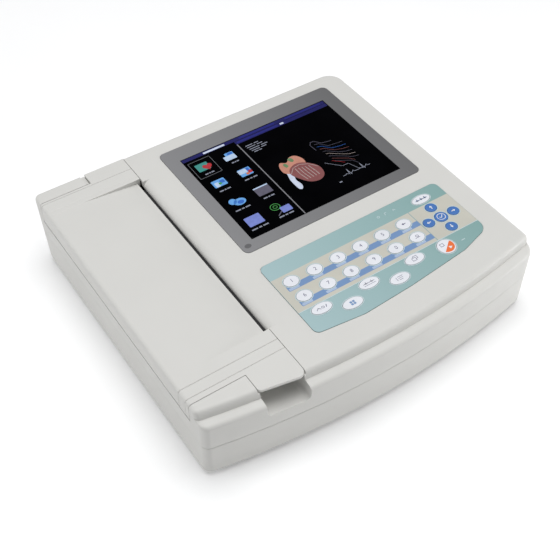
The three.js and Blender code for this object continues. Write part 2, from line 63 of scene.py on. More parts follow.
# ---- driving dimensions ----
CASE_LOW, CASE_HIGH = span("upper_casing")
LEFT, RIGHT, BACK, DECK = CASE_LOW.x, CASE_HIGH.x, CASE_HIGH.y, CASE_HIGH.z
FRONT, PARTING = CASE_LOW.y, CASE_LOW.z
BASE = span("lower_casing")[0].z
DOOR_HIGH = span("printer_door")[1]
HINGE = Vector(frame["joints"][0]["pos_m"]) / MM     # the door's hinge is the first joint
FRONT_APEX_X = 7  # the front wall is a shallow curve with its apex here
FRONT_TWO_R = 1768  # twice the radius of that curve
WALL = 2.5  # thickness of the side walls
THICK = 2.8  # thickness of the deck and of the door
SEAM = 0.5  # visible gap between neighbouring mouldings
BELOW, ABOVE = 40, 95  # heights under the door and over everything, for cutters
AHEAD, BEHIND = -180, 190  # depths in front of and behind everything, for cutters

DOOR_SEAM = DOOR_HIGH.x  # right edge of the door's front and rear strips
DOOR_FRONT, DOOR_REAR = -125.3, 147.3
TONGUE_LEFT = -122.6  # left edge of the door's two tongues
SLOT_FRONT, SLOT_REAR = -96.3, 127.0                # ends of the paper slot
SLOPE_START, LIP_X, LIP_DROP = -146, -83.8, 5.5  # the main panel falls from here to its lip
SKIRT_BOTTOM = 60.0  # lower edge of the door's skirt on the left wall
RECESS_LEFT, RECESS_RIGHT = TONGUE_LEFT + 1, -82.2  # finger recess in front of the door
RECESS_REAR, RECESS_FLOOR = -127.5, 56.5


def front_y(x):
    return FRONT + (x - FRONT_APEX_X) ** 2 / FRONT_TWO_R


def lerp(a, b, t):
    return a + (b - a) * t


def smoothstep(low, high, x):
    t = min(1.0, max(0.0, (x - low) / (high - low)))
    return t * t * (3 - 2 * t)


# ---- mesh helpers ----
def mesh_object(name, points, faces):
    mesh = bpy.data.meshes.new(name)
    mesh.from_pydata([Vector(p) * MM for p in points], [], faces)
    mesh.validate()
    obj = bpy.data.objects.new(name, mesh)
    bpy.context.scene.collection.objects.link(obj)
    clean = bmesh.new()
    clean.from_mesh(mesh)
    bmesh.ops.recalc_face_normals(clean, faces=clean.faces)
    clean.to_mesh(mesh)
    clean.free()
    return obj


def loft(name, loops, closed=False):
    """Skin over equal-length loops of points; capped at both ends, or joined end to end."""
    count = len(loops[0])
    points = [p for loop in loops for p in loop]
    faces = []
    rows = len(loops)
    for j in range(rows if closed else rows - 1):
        for i in range(count):
            k = (i + 1) % count
            up = (j + 1) % rows
            faces.append((j * count + i, j * count + k, up * count + k, up * count + i))
    if not closed:
        faces.append(tuple(range(count - 1, -1, -1)))
        faces.append(tuple((rows - 1) * count + i for i in range(count)))
    return mesh_object(name, points, faces)


def rounded(corners, segments=6):
    """Points of a closed outline through corners (x, y, radius), with arcs at its corners."""
    points = []
    count = len(corners)
    for i, corner in enumerate(corners):
        x, y, radius = (*corner, 0)[:3]
        here = Vector((x, y))
        if radius <= 0:
            points.append((x, y))
            continue
        before = (Vector(corners[i - 1][:2]) - here).normalized()
        after = (Vector(corners[(i + 1) % count][:2]) - here).normalized()
        half = before.angle(after) / 2
        centre = here + (before + after).normalized() * (radius / math.sin(half))
        start = here + before * (radius / math.tan(half)) - centre
        turn = (math.pi - 2 * half) * (1 if before.cross(after) < 0 else -1)
        for k in range(segments + 1):
            angle = turn * k / segments
            points.append((centre.x + start.x * math.cos(angle) - start.y * math.sin(angle),
                           centre.y + start.x * math.sin(angle) + start.y * math.cos(angle)))
    return points


def rect(x0, x1, y0, y1, radius=0, segments=6):
    return rounded([(x0, y0, radius), (x1, y0, radius), (x1, y1, radius), (x0, y1, radius)], segments)


def ellipse(x, y, rx, ry, count=32):
    angles = [2 * math.pi * k / count for k in range(count)]
    return [(x + rx * math.cos(a), y + ry * math.sin(a)) for a in angles]


def prism(name, outline, z0, z1):
    return loft(name, [[(x, y, z) for x, y in outline] for z in (z0, z1)])


def prism_y(name, section, y0, y1):
    return loft(name, [[(x, y, z) for x, z in section] for y in (y0, y1)])


def prism_x(name, section, x0, x1):
    return loft(name, [[(x, y, z) for y, z in section] for x in (x0, x1)])


def block(name, x0, x1, y0, y1, z0, z1):
    return prism(name, [(x0, y0), (x1, y0), (x1, y1), (x0, y1)], z0, z1)


def rod_y(name, radius, x, z, y0, y1, count=32):
    return prism_y(name, ellipse(x, z, radius, radius, count), y0, y1)


def combine(obj, operation, *others):
    """Applies a boolean of obj with each of the others, which are used up."""
    for other in others:
        modifier = obj.modifiers.new("combine", "BOOLEAN")
        modifier.operation = operation
        modifier.solver = "MANIFOLD"
        modifier.object = other
        evaluated = obj.evaluated_get(bpy.context.evaluated_depsgraph_get())
        mesh = bpy.data.meshes.new_from_object(evaluated)
        obj.modifiers.clear()
        old = obj.data
        obj.data = mesh
        bpy.data.meshes.remove(old)
        bpy.data.objects.remove(other)
    return obj


def cut(obj, *others):
    return combine(obj, "DIFFERENCE", *others)


def join(obj, *others):
    return combine(obj, "UNION", *others)


def keep(obj, *others):
    return combine(obj, "INTERSECT", *others)


def tidy_faces(obj):
    """Merges coplanar faces into convex ones, so that bevels run clean along real edges."""
    clean = bmesh.new()
    clean.from_mesh(obj.data)
    bmesh.ops.remove_doubles(clean, verts=clean.verts, dist=0.02 * MM)
    flat = math.radians(0.06)
    bmesh.ops.dissolve_limit(clean, angle_limit=flat, verts=clean.verts, edges=clean.edges)
    bmesh.ops.connect_verts_concave(clean, faces=clean.faces)
    clean.to_mesh(obj.data)
    clean.free()


def shade(obj):
    obj.data.shade_smooth()
    normals = obj.modifiers.new("normals", "WEIGHTED_NORMAL")
    normals.weight = 90
    normals.keep_sharp = True
    return obj


def round_edges(obj, width, segments, sharp, miter):
    """Rounds the edges that are sharper than an angle, in degrees, and shades the rest smooth."""
    bevel = obj.modifiers.new("edges", "BEVEL")
    bevel.width = width * MM
    bevel.segments = segments
    bevel.limit_method = "ANGLE"
    bevel.angle_limit = math.radians(sharp)
    bevel.miter_outer = miter
    return shade(obj)


def soften(obj, width, segments=2):
    tidy_faces(obj)
    return round_edges(obj, width, segments, 38, "MITER_ARC")


def finish(obj, material, body, slot, *replaced):
    """Gives a piece its material and the body it rides on, and hides the CAD it stands for; its record slot
    is not used.
    """
    obj.data.materials.clear()
    obj.data.materials.append(material)
    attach(obj, body)
    if replaced:
        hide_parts(*replaced)
    return obj


# ---- materials ----
def linear(*rgb):
    """Scene-linear colour of an 8-bit display colour."""
    parts = [c / 255 for c in rgb]
    return tuple(c / 12.92 if c <= 0.04 else ((c + 0.055) / 1.055) ** 2.4 for c in parts) + (1,)


class Nodes:
    """Short names for building a node material."""

    def __init__(self, name):
        self.material = bpy.data.materials.new(name)
        self.material.use_nodes = True
        self.tree = self.material.node_tree
        self.shader = self.tree.nodes["Principled BSDF"]
        self.place = self.add("ShaderNodeTexCoord").outputs["Object"]

    def add(self, kind, **settings):
        node = self.tree.nodes.new(kind)
        for key, value in settings.items():
            setattr(node, key, value)
        return node

    def link(self, source, target):
        self.tree.links.new(source, target)

    def noise(self, scale, detail=3, roughness=0.5, place=None):
        node = self.add("ShaderNodeTexNoise")
        node.inputs["Scale"].default_value = scale
        node.inputs["Detail"].default_value = detail
        node.inputs["Roughness"].default_value = roughness
        self.link(place or self.place, node.inputs["Vector"])
        return node.outputs["Fac"]

    def ramp(self, source, stops):
        node = self.add("ShaderNodeValToRGB")
        elements = node.color_ramp.elements
        for index, (position, colour) in enumerate(stops):
            element = elements[index] if index < 2 else elements.new(position)
            element.position = position
            element.color = colour
        self.link(source, node.inputs["Fac"])
        return node.outputs["Color"]

    def scale_range(self, source, low, high, from_low=0.3, from_high=0.7):
        node = self.add("ShaderNodeMapRange")
        node.inputs["From Min"].default_value = from_low
        node.inputs["From Max"].default_value = from_high
        node.inputs["To Min"].default_value = low
        node.inputs["To Max"].default_value = high
        self.link(source, node.inputs["Value"])
        return node.outputs["Result"]

    def bump(self, height, distance, strength=1.0, after=None):
        node = self.add("ShaderNodeBump")
        node.inputs["Distance"].default_value = distance * MM
        node.inputs["Strength"].default_value = strength
        self.link(height, node.inputs["Height"])
        if after is not None:
            self.link(after, node.inputs["Normal"])
        return node.outputs["Normal"]

    def mapped(self, setting, value):
        """The place on the object with one setting of a mapping applied."""
        node = self.add("ShaderNodeMapping")
        node.inputs[setting].default_value = value
        self.link(self.place, node.inputs["Vector"])
        return node.outputs["Vector"]

    def tint(self, source, colour, dark, light=1.0, stops=(0.3, 0.7)):
        """Base colour that wanders between a darker and a lighter shade of a colour."""
        shades = [tuple(min(1, c * k) for c in linear(*colour)[:3]) + (1,) for k in (dark, light)]
        out = self.ramp(source, list(zip(stops, shades)))
        self.link(out, self.shader.inputs["Base Color"])
        return out

    def rough(self, source, low, high):
        self.link(self.scale_range(source, low, high), self.shader.inputs["Roughness"])

    def surface(self, normal):
        self.link(normal, self.shader.inputs["Normal"])

    def set(self, **values):
        for key, value in values.items():
            self.shader.inputs[key.replace("_", " ")].default_value = value


def moulded(name, colour, rough, grain, depth, shift, coat=0.0):
    """Moulded plastic: fine spark-eroded grain, faint flow marks, uneven gloss and light soiling."""
    n = Nodes(name)
    n.tint(n.noise(14, 4, 0.6), colour, 1 - shift, 1 + shift)
    n.rough(n.noise(60, 5), rough - 0.05, rough + 0.07)
    flow = n.bump(n.noise(30, 2), 0.05, 0.25)
    n.surface(n.bump(n.noise(1000 / grain, 2, 0.6), depth, 1.0, flow))
    n.set(Coat_Weight=coat, Coat_Roughness=0.15)
    return n.material


def brushed(name, colour, rough, stretch):
    """Metal with fine streaks along one direction."""
    n = Nodes(name)
    streaks = n.noise(120, 4, 0.6, n.mapped("Scale", stretch))
    n.tint(streaks, colour, 0.82)
    n.rough(streaks, rough - 0.08, rough + 0.1)
    n.surface(n.bump(streaks, 0.02, 0.6))
    n.set(Metallic=1.0)
    return n.material


def wound(name, colour, x, z):
    """Paper wound into a roll: fine rings about the roll's axis on its ends."""
    n = Nodes(name)
    wave = n.add("ShaderNodeTexWave", wave_type="RINGS", rings_direction="Y")
    wave.inputs["Scale"].default_value = 260
    wave.inputs["Distortion"].default_value = 0.6
    n.link(n.mapped("Location", (-x * MM, 0, -z * MM)), wave.inputs["Vector"])
    rings = wave.outputs["Fac"]
    n.tint(rings, colour, 0.86, stops=(0.2, 0.6))
    n.rough(n.noise(70, 3), 0.78, 0.92)
    n.surface(n.bump(rings, 0.02, 0.5))
    return n.material


def film_shader(name, colour, rough, right=None):
    """Polyester film with a fine velvet surface, used for print and for the painted highlight of the pale
    strips; right is the colour at its right end.
    """
    n = Nodes(name)
    if right is None:
        n.tint(n.noise(45, 3), colour, 0.94)
    else:
        split = n.add("ShaderNodeSeparateXYZ")
        n.link(n.place, split.inputs["Vector"])
        along = n.scale_range(split.outputs["X"], 0, 1, -50 * MM, 150 * MM)
        fade = n.ramp(along, [(0, linear(*colour)), (1, linear(*right))])
        n.link(fade, n.shader.inputs["Base Color"])
    n.rough(n.noise(80, 3), rough - 0.05, rough + 0.05)
    n.surface(n.bump(n.noise(2600, 2), 0.01, 0.6))
    n.set(Specular_IOR_Level=0.25)
    return n.material


def lit(name, colour):
    """A lit area of the display behind its window."""
    n = Nodes(name)
    n.link(n.tint(n.noise(260, 2), colour, 0.85), n.shader.inputs["Emission Color"])
    n.set(Emission_Strength=0.6, Roughness=0.3)
    return n.material


def make_glass():
    n = Nodes("display_glass")
    shades = [(0.3, linear(1, 1, 2)), (0.7, linear(3, 3, 5))]
    n.link(n.ramp(n.noise(40, 2), shades), n.shader.inputs["Base Color"])
    n.rough(n.noise(20, 3), 0.1, 0.16)
    n.set(Specular_IOR_Level=0.02)
    return n.material


CASING = moulded("casing_plastic", (209, 208, 204), 0.52, 0.4, 0.02, 0.012)
BLACK = moulded("black_plastic", (34, 34, 36), 0.48, 0.5, 0.03, 0.06)
RUBBER = moulded("rubber", (38, 38, 40), 0.8, 0.6, 0.05, 0.08)
NYLON = moulded("nylon", (226, 221, 205), 0.45, 0.7, 0.02, 0.03)
BOARD = moulded("circuit_board", (26, 92, 52), 0.4, 0.8, 0.04, 0.15, 0.3)
WRAP = moulded("battery_wrap", (44, 92, 160), 0.3, 1.5, 0.03, 0.05, 0.5)
CERAMIC = moulded("head_ceramic", (232, 226, 214), 0.2, 1.2, 0.01, 0.03, 0.4)
STEEL = brushed("turned_steel", (188, 190, 194), 0.3, (40, 1, 40))
ALLOY = brushed("extruded_alloy", (170, 173, 178), 0.4, (40, 1, 40))
BRASS = brushed("brass", (204, 168, 92), 0.32, (30, 1, 30))
OVERLAY = film_shader("bezel_print", (132, 132, 134), 0.44, (104, 104, 105))
SMOKED = film_shader("smoked_window", (100, 100, 102), 0.3)
TEAL = film_shader("teal_film", (161, 187, 190), 0.48, (130, 164, 162))
SAND = film_shader("sand_print", (197, 195, 184), 0.48)
BAR_BLUE = film_shader("blue_print", (116, 146, 188), 0.48)
# Pale blue of the strips below the keys: a painted highlight on the blue bars.
PALE_HIGHLIGHT = film_shader("pale_blue_painted_highlight", (168, 186, 212), 0.48)
SEAM_GREY = film_shader("seam_print", (150, 172, 172), 0.45)
HALO = film_shader("halo_print", (194, 211, 214), 0.45)
INK = film_shader("ink", (112, 112, 136), 0.5)
KEY_WHITE = film_shader("white_key", (228, 230, 236), 0.38)
KEY_BLUE = film_shader("blue_key", (74, 118, 184), 0.36)
KEY_ORANGE = film_shader("orange_key", (232, 116, 62), 0.38)
GLASS = make_glass()
# Colours of the start screen, from its lowest layer to its highest.
SCREEN_COLOURS = {
    "navy": (8, 8, 72), "bar_light": (16, 20, 96), "pale": (166, 174, 190), "divider": (104, 104, 108),
    "frame": (88, 90, 94), "caption": (112, 116, 128), "sky": (82, 134, 186), "blue": (38, 84, 158),
    "white": (150, 168, 190), "teal": (48, 116, 110), "red": (146, 34, 42), "green": (52, 122, 56),
    "orange": (166, 92, 56), "violet": (96, 108, 168), "flesh": (160, 110, 94),
    "flesh_dark": (108, 62, 62), "grey": (74, 72, 86), "rib": (150, 138, 134), "moss": (84, 110, 76),
}
SCREEN_LOOK = {name: lit(f"screen_{name}", colour) for name, colour in SCREEN_COLOURS.items()}


# ---- case shells ----
# Each row gives inset and height on the plain walls, then inset and height on the stepped front.
STEP_ROWS = [
    (0.28, PARTING, 0.28, PARTING), (0, PARTING + 0.45, 0, PARTING + 0.45),
    (0, 66.6, 0, 66.6), (0, 67.8, 0.3, 67.8), (0, 68.9, 1.0, 68.9), (0, 69.7, 2.1, 69.7),
    (0, 70.3, 3.6, 70.3), (0, 71.3, 8.2, 71.3), (0, 71.5, 8.9, 71.4), (0, 71.7, 9.3, 71.1),
    (0, 71.9, 9.6, 71.2), (0, 72.4, 9.9, 72.0), (0, 73.2, 10.1, 73.2), (0, 76.2, 10.8, 76.4),
    (0.35, 78.0, 11.5, 78.1), (1.1, 79.1, 12.5, 79.2), (2.2, 79.75, 13.9, 79.8), (3.6, DECK, 15.6, DECK),
]
HOLLOW_ROWS = [
    (WALL, PARTING - 5, WALL, PARTING - 5), (WALL, 64.4, WALL, 64.4), (WALL, 66.0, 12.3, 68.0),
    (WALL, 75.4, 13.5, 75.4), (4.2, DECK - THICK, 16, DECK - THICK),
]
# Inset and height, the same on every wall.
LOWER_ROWS = [
    (4.2, BASE), (2.3, BASE + 0.4), (1.0, BASE + 1.3), (0.25, BASE + 2.7), (0, BASE + 4.4),
    (0, PARTING - 0.75), (0.28, PARTING - 0.3),
]


def case_loop(inset, height, front_inset, front_height):
    """One level of the case, as a closed outline with its own inset and height along the front."""
    left, right, back = LEFT + inset, RIGHT - inset, BACK - inset

    def front(x):
        return front_y(x) + front_inset

    front_left = 8 - 0.3 * front_inset - inset
    front_right = 12 - inset - 0.8 * (front_inset - inset)
    rear_left = lerp(15, 6, min(1.0, height / DECK)) - inset    # rounder towards the floor
    corners = [
        (left, front(left), max(front_left, 2.5)),
        *((x, front(x)) for x in range(-150, 161, 10)),
        (right, front(right), max(front_right, 3.5)),
        (right, back, 17 - inset),
        (left, back, max(rear_left, 2)),
        (left, -116),                                           # the step has faded out here
    ]
    loop = []
    for x, y in rounded(corners, 8):
        share = 1 - smoothstep(-127, -117, y)
        loop.append((x, y, lerp(height, front_height, share)))
    return loop


def outer_skin(name, over=0):
    """The upper outer form; with over, its deck is carried straight up by that much for trimming."""
    rows = STEP_ROWS + ([(3.6, DECK + over, 15.6, DECK + over)] if over else [])
    return loft(name, [case_loop(*row) for row in rows])


def finger_recess():
    """Cutter for the hollow in front of the door, rounded along its floor."""
    floor = RECESS_FLOOR
    rows = [(4.5, floor), (2.2, floor + 0.6), (0.8, floor + 2), (0.1, floor + 4.2), (0, floor + 7),
            (0, ABOVE)]
    loops = []
    for inset, z in rows:
        left, right, rear = RECESS_LEFT + inset, RECESS_RIGHT - inset, RECESS_REAR - inset
        outline = rounded([(left, AHEAD), (right, AHEAD), (right, rear, 16 - inset),
                           (left, rear, 6 - inset)], 8)
        loops.append([(x, y, z) for x, y in outline])
    return loft("recess", loops)


def recess_walls():
    """Solid plastic around the finger recess, kept just inside the outer skin."""
    top = DECK - THICK + 0.6
    walls = block("walls", TONGUE_LEFT - 2.5, RECESS_RIGHT + 3.6, -170, RECESS_REAR + 2.7, 53.5, top)
    levels = [(0.2, 50), (0.2, 66), (12.6, 68.4), (12.6, 79)]
    return keep(walls, loft("limit", [case_loop(0.2, z, inset, z) for inset, z in levels]))


def door_opening():
    """Everything that the door and its tongues need clear of the case."""
    right, front, rear = DOOR_SEAM + SEAM, DOOR_FRONT - SEAM, DOOR_REAR + SEAM
    left = TONGUE_LEFT - SEAM
    floor = DECK - THICK - 1
    return join(
        block("main", LEFT - 9, right, front, rear, SKIRT_BOTTOM - 1.4, ABOVE),
        block("front", left, right, AHEAD, DOOR_FRONT + 1, floor, ABOVE),
        block("rear", left, right, DOOR_REAR - 1, BEHIND, floor, ABOVE),
        block("notch", TONGUE_LEFT - 5, TONGUE_LEFT, rear + 0.1, BEHIND, DECK - 3, ABOVE),
        block("ledge", LEFT + 0.35, LEFT + 9, front, rear, 56.5, 60),
    )


def slot_band():
    """Cutter for the case's rounded edge along the paper slot."""
    reach, fall = 7.8, 7.0
    left = DOOR_SEAM + SEAM
    curve = [(left + reach * (1 - math.cos(a)), DECK - fall + fall * math.sin(a))
             for a in (math.pi / 2 * k / 10 for k in range(11))]
    section = [(left - 2, DECK - fall), *curve, (left + reach, ABOVE), (left - 2, ABOVE)]
    return prism_y("band", section, SLOT_FRONT, 121.5)


def pad_outline(inset=0):
    """Outline of the keypad, whose front edge follows the front of the case."""
    low, high = span("keypad_membrane")
    left, right, rear = low.x + inset, high.x - inset, high.y - inset
    front = [(-4, -128.4), (49.5, -125.6), (116, -119)]
    return rounded([
        (left, -123 + inset, 6), *((x, y + inset) for x, y in front), (right, -109 + inset, 12),
        (right, rear, 6), (left, rear, 6),
    ], 8)


def over_node(node, margin, z0, z1, radius):
    """Upright prism over a node's outline, grown by a margin."""
    low, high = span(node)
    outline = rect(low.x - margin, high.x + margin, low.y - margin, high.y + margin, radius)
    return prism("seat", outline, z0, z1)


def rear_opening(node, margin):
    """Cutter through the rear wall around a node."""
    low, high = span(node)
    return block("opening", low.x - margin, high.x + margin, BACK - 6, BACK + 3,
                 low.z - margin, high.z + margin)


def make_upper_casing():
    shell = outer_skin("upper_casing_shell")
    cut(shell, loft("hollow", [case_loop(*row) for row in HOLLOW_ROWS]))
    join(shell, recess_walls())
    under = DECK - THICK + 0.5
    shelf = block("rear_shelf", TONGUE_LEFT - 9, -78, DOOR_REAR + 1, BACK - 1.2, 69.5, under)
    rib = block("slot_rib", DOOR_SEAM + SEAM - 0.3, -71.5, SLOT_FRONT - 3, 125, 72.4, under)
    join(shell, shelf, rib)
    cut(shell, finger_recess(), door_opening(), slot_band())
    cut(shell, over_node("display_bezel", 0.3, 79, ABOVE, 6))
    cut(shell, prism("pad_seat", pad_outline(-0.35), 79.2, ABOVE))
    cut(shell, prism("pad_window", pad_outline(3), 60, ABOVE))
    soften(shell, 0.45, 3)
    return finish(shell, CASING, "case", "casing", "upper_casing")


def make_lower_casing():
    shell = loft("lower_casing_shell", [case_loop(*row, *row) for row in LOWER_ROWS])
    inner = [(WALL + 3, BASE + 3), (WALL + 0.8, BASE + 3.8), (WALL, BASE + 6), (WALL, PARTING + 4)]
    cut(shell, loft("hollow", [case_loop(*row, *row) for row in inner]))
    low, high = span("port_panel")
    gap = 0.35
    cut(shell, block("notch", low.x - 1, high.x + 5, low.y - gap, high.y + gap, low.z - gap, PARTING + 4))
    cut(shell, rear_opening("mains_inlet", -2.6), rear_opening("power_switch", 0.5))
    for node in ("fuse_cap", "equipotential_post"):
        middle = centre_of(node)
        cut(shell, rod_y("hole", 3.2, middle.x, middle.z, BACK - 6, BACK + 3))
    cut(shell, over_node("battery_door", 0.4, 0, BASE + 2.9, 4))
    for x, y in screw_places():
        cut(shell, prism("counterbore", ellipse(x, y, 4.2, 4.2, 24), 0, BASE + 2))
    for i in range(9):
        x = -52 + 7 * i
        cut(shell, prism("vent", rect(x - 1.2, x + 1.2, 60, 104, 1.1, 4), 0, BASE + 8))
        cut(shell, prism_y("rear_vent", rect(x - 71.2, x - 68.8, 22, 34, 1.1, 4), BACK - 8, BACK + 5))
    soften(shell, 0.4)
    return finish(shell, CASING, "case", "casing", "lower_casing")


def screw_places():
    return [(-160, -90), (-60, -140), (60, -140), (160, -90), (-160, 100), (20, 148), (160, 128)]


def make_screws():
    """Cross-head case screws in their counterbores."""
    for i, (x, y) in enumerate(screw_places()):
        rows = [(0.2, 0.5), (2.6, 0.5), (3.4, 1.1), (3.4, 1.9), (0.2, 1.9)]
        screw = loft(f"case_screw_{i + 1}", [
            [(px, py, BASE + z) for px, py in ellipse(x, y, r, r, 24)] for r, z in rows])
        for long_x, long_y in ((1.9, 0.4), (0.4, 1.9)):
            cut(screw, block("slot", x - long_x, x + long_x, y - long_y, y + long_y, BASE - 1, BASE + 1.2))
        soften(screw, 0.1)
        finish(screw, STEEL, "case", "steel")


# ---- printer door ----
def slope(x):
    """Height of the door's main panel: level at the left, falling gently to the lip."""
    t = min(1.0, max(0.0, (x - SLOPE_START) / (LIP_X - SLOPE_START)))
    return DECK - LIP_DROP * t ** 1.35


def slope_points(start, end, count):
    """Points (x, z) along the main panel's top."""
    xs = [lerp(start, end, k / count) for k in range(count + 1)]
    return [(x, slope(x)) for x in xs]


def groove(y, depth=0.6, half=0.45, skirt=True):
    """V cutter across the top of the door; with skirt, also over its left edge and down its skirt."""
    edge = [(LEFT + row[0], row[1]) for row in STEP_ROWS[-5:]]
    path = ([(LEFT, 50)] + edge if skirt else edge[-1:]) + [(DOOR_SEAM + 2, DECK)]
    loops = []
    for i, (x, z) in enumerate(path):
        before, after = path[max(i - 1, 0)], path[min(i + 1, len(path) - 1)]
        out = Vector((before[1] - after[1], 0, after[0] - before[0])).normalized()
        here, side = Vector((x, y, z)), Vector((0, half, 0))
        rim = here + out * 0.02
        loops.append([rim - side, here - out * depth, rim + side, here + out * 3])
    return loft("groove", loops)


def make_printer_door():
    """Door in one piece: strips level with the deck at both ends and the falling panel between."""
    right, under, wall = DOOR_SEAM, DECK - THICK, LEFT + THICK
    door = outer_skin("printer_door_shell", 6)
    region = block("region", LEFT - 9, right, DOOR_FRONT, DOOR_REAR, SKIRT_BOTTOM, ABOVE)
    tongue = rounded([(TONGUE_LEFT, -120), (TONGUE_LEFT, -144.6, 4), (right, -152.6, 6), (right, -120)])
    join(region, prism("tongue", tongue, under, 94))
    join(region, block("rear_tongue", TONGUE_LEFT, right, 140, DOOR_HIGH.y, under, 93))
    join(door, block("skin", LEFT + 8, right + 3, -156, BACK - 0.6, under - 0.2, DECK + 4))
    keep(door, region)
    cut(door, block("above_deck", LEFT - 20, right + 20, AHEAD, BEHIND, DECK, ABOVE))
    outside = right + 9
    cut(door, block("hollow_front", wall, outside, AHEAD, SLOT_FRONT - 1.9, BELOW, under))
    cut(door, block("hollow_rear", wall, outside, SLOT_REAR + 1.9, BEHIND, BELOW, under))
    cut(door, block("hollow_left", wall, SLOPE_START, AHEAD, BEHIND, BELOW, under))
    panel = slope_points(SLOPE_START, LIP_X, 12)[1:]
    hollow = [(SLOPE_START - 1, under), *((x, z - THICK) for x, z in panel),
              (outside, slope(LIP_X) - THICK), (outside, BELOW), (SLOPE_START - 1, BELOW)]
    cut(door, prism_y("hollow_main", hollow, SLOT_FRONT - 2, SLOT_REAR + 2))
    end = LIP_X + 8
    over = [(SLOPE_START - 2, DECK + 0.05), *panel, (end, slope(end)), (end, ABOVE), (SLOPE_START - 2, ABOVE)]
    cut(door, prism_y("above", over, SLOT_FRONT, SLOT_REAR))
    cut(door, block("slot_gap", LIP_X, outside, SLOT_FRONT, SLOT_REAR, BELOW, ABOVE))
    cut(door, groove(-109.1), groove(-119.9), groove(144.6))
    cut(door, groove(132.6, 0.3, 0.5, False), groove(SLOT_REAR + 0.1, 0.2, 0.4, False))
    soften(door, 0.4, 3)
    return finish(door, CASING, "door", "casing", "printer_door")


def make_door_inside():
    """Hinge barrel, stiffening ribs and the two cheeks that carry the platen."""
    barrel = rod_y("door_hinge_barrel", 2.7, HINGE.x, HINGE.z, DOOR_FRONT + 1, DOOR_REAR - 1)
    cut(barrel, rod_y("bore", 1.45, HINGE.x, HINGE.z, DOOR_FRONT - 1, DOOR_REAR + 1, 24))
    soften(barrel, 0.2)
    finish(barrel, CASING, "door", "casing")
    root, tip = LEFT + THICK, -98
    top = [(x, z - THICK - 0.02) for x, z in slope_points(root, tip, 10)]
    section = [*top, (tip, slope(tip) - 6), (LEFT + 9, DECK - 9), (root, DECK - 9)]
    for i, y in enumerate((-70, -20, 30, 80)):
        rib = prism_y(f"door_rib_{i + 1}", section, y - 0.8, y + 0.8)
        soften(rib, 0.25)
        finish(rib, CASING, "door", "casing")
    shaft = centre_of("platen_shaft")
    x, z = shaft.x, shaft.z
    for name, y in (("door_cheek_front", -98.9), ("door_cheek_rear", 119.5)):
        left, right = x - 7.6, x + 4.8
        outline = rounded([(left, z - 5, 4), (right, z - 5, 4), (right, slope(right) - THICK),
                           (left, slope(left) - THICK)], 5)
        cheek = prism_y(name, outline, y, y + 2.5)
        cut(cheek, rod_y("bore", 2.6, x, z, y - 1, y + 4, 24))
        soften(cheek, 0.3)
        finish(cheek, CASING, "door", "casing")


# ---- flat artwork ----
def patches(name, outlines, low, high, along_x=False):
    """One mesh of many separate flat prisms along Z, or along X for outlines of (y, z)."""
    points, faces = [], []
    for outline in outlines:
        start, count = len(points), len(outline)
        points += [(w, u, v) if along_x else (u, v, w) for w in (low, high) for u, v in outline]
        faces.append(tuple(start + i for i in range(count - 1, -1, -1)))
        faces.append(tuple(start + count + i for i in range(count)))
        for i in range(count):
            k = (i + 1) % count
            faces.append((start + i, start + k, start + count + k, start + count + i))
    return mesh_object(name, points, faces)


def stroke(points, width):
    """Quads that follow a line of points."""
    quads = []
    for (x0, y0), (x1, y1) in zip(points, points[1:]):
        along = Vector((x1 - x0, y1 - y0)).normalized() * (width / 2)
        side = Vector((-along.y, along.x))
        a, b = Vector((x0, y0)) - along * 0.6, Vector((x1, y1)) + along * 0.6
        quads.append([tuple(a - side), tuple(b - side), tuple(b + side), tuple(a + side)])
    return quads


def ring(x, y, rx, ry, width, count=28):
    outer, inner = ellipse(x, y, rx, ry, count), ellipse(x, y, rx - width, ry - width, count)
    return [[outer[i - 1], outer[i], inner[i], inner[i - 1]] for i in range(count)]


def artwork(name, outlines, z0, z1, material, body, slot):
    return finish(patches(name, outlines, z0, z1), material, body, slot)


def around(shapes, x, y, degrees=0):
    """Shapes drawn about the origin, turned and placed at (x, y)."""
    c, s = math.cos(math.radians(degrees)), math.sin(math.radians(degrees))
    return [[(x + c * px - s * py, y + s * px + c * py) for px, py in shape] for shape in shapes]


# ---- display ----
SCREEN_LEFT, SCREEN_RIGHT, SCREEN_FRONT, SCREEN_REAR = -35.2, 135.4, -0.9, 127.0
DIVIDER = 23.2  # line between the icons and the heart
OVERLAY_TOP, GLASS_TOP, LIT_LEVEL = 80.45, 80.05, 80.12


def make_display():
    """Printed frame around the window, the window's glass and the light sensor's dot."""
    low, high = span("display_bezel")
    outer = (low.x, high.x, low.y, high.y)
    inner = (SCREEN_LEFT - 0.9, SCREEN_RIGHT + 0.9, SCREEN_FRONT - 0.9, SCREEN_REAR + 0.5)
    bottom, top = 79.3, OVERLAY_TOP
    loops = []
    for (x0, x1, y0, y1), radius, inset, z in (
        (outer, 6, 0, bottom), (outer, 6, 0, top - 0.15), (outer, 6, 0.15, top),
        (inner, 0.5, 0, top), (inner, 0.5, -0.12, top - 0.12), (inner, 0.5, -0.12, bottom),
    ):
        outline = rect(x0 + inset, x1 - inset, y0 + inset, y1 - inset, radius, 10)
        loops.append([(x, y, z) for x, y in outline])
    finish(loft("display_overlay", loops, True), OVERLAY, "case", "bezel", "display_bezel")
    glass = prism("display_glass", rect(*inner, 0.6), 78.9, GLASS_TOP)
    soften(glass, 0.08)
    finish(glass, GLASS, "case", "screen", "display_lens")
    eye = prism("light_sensor", ellipse(-43.6, -6.9, 3.4, 2.6, 28), top, top + 0.03)
    finish(eye, SMOKED, "case", "bezel")


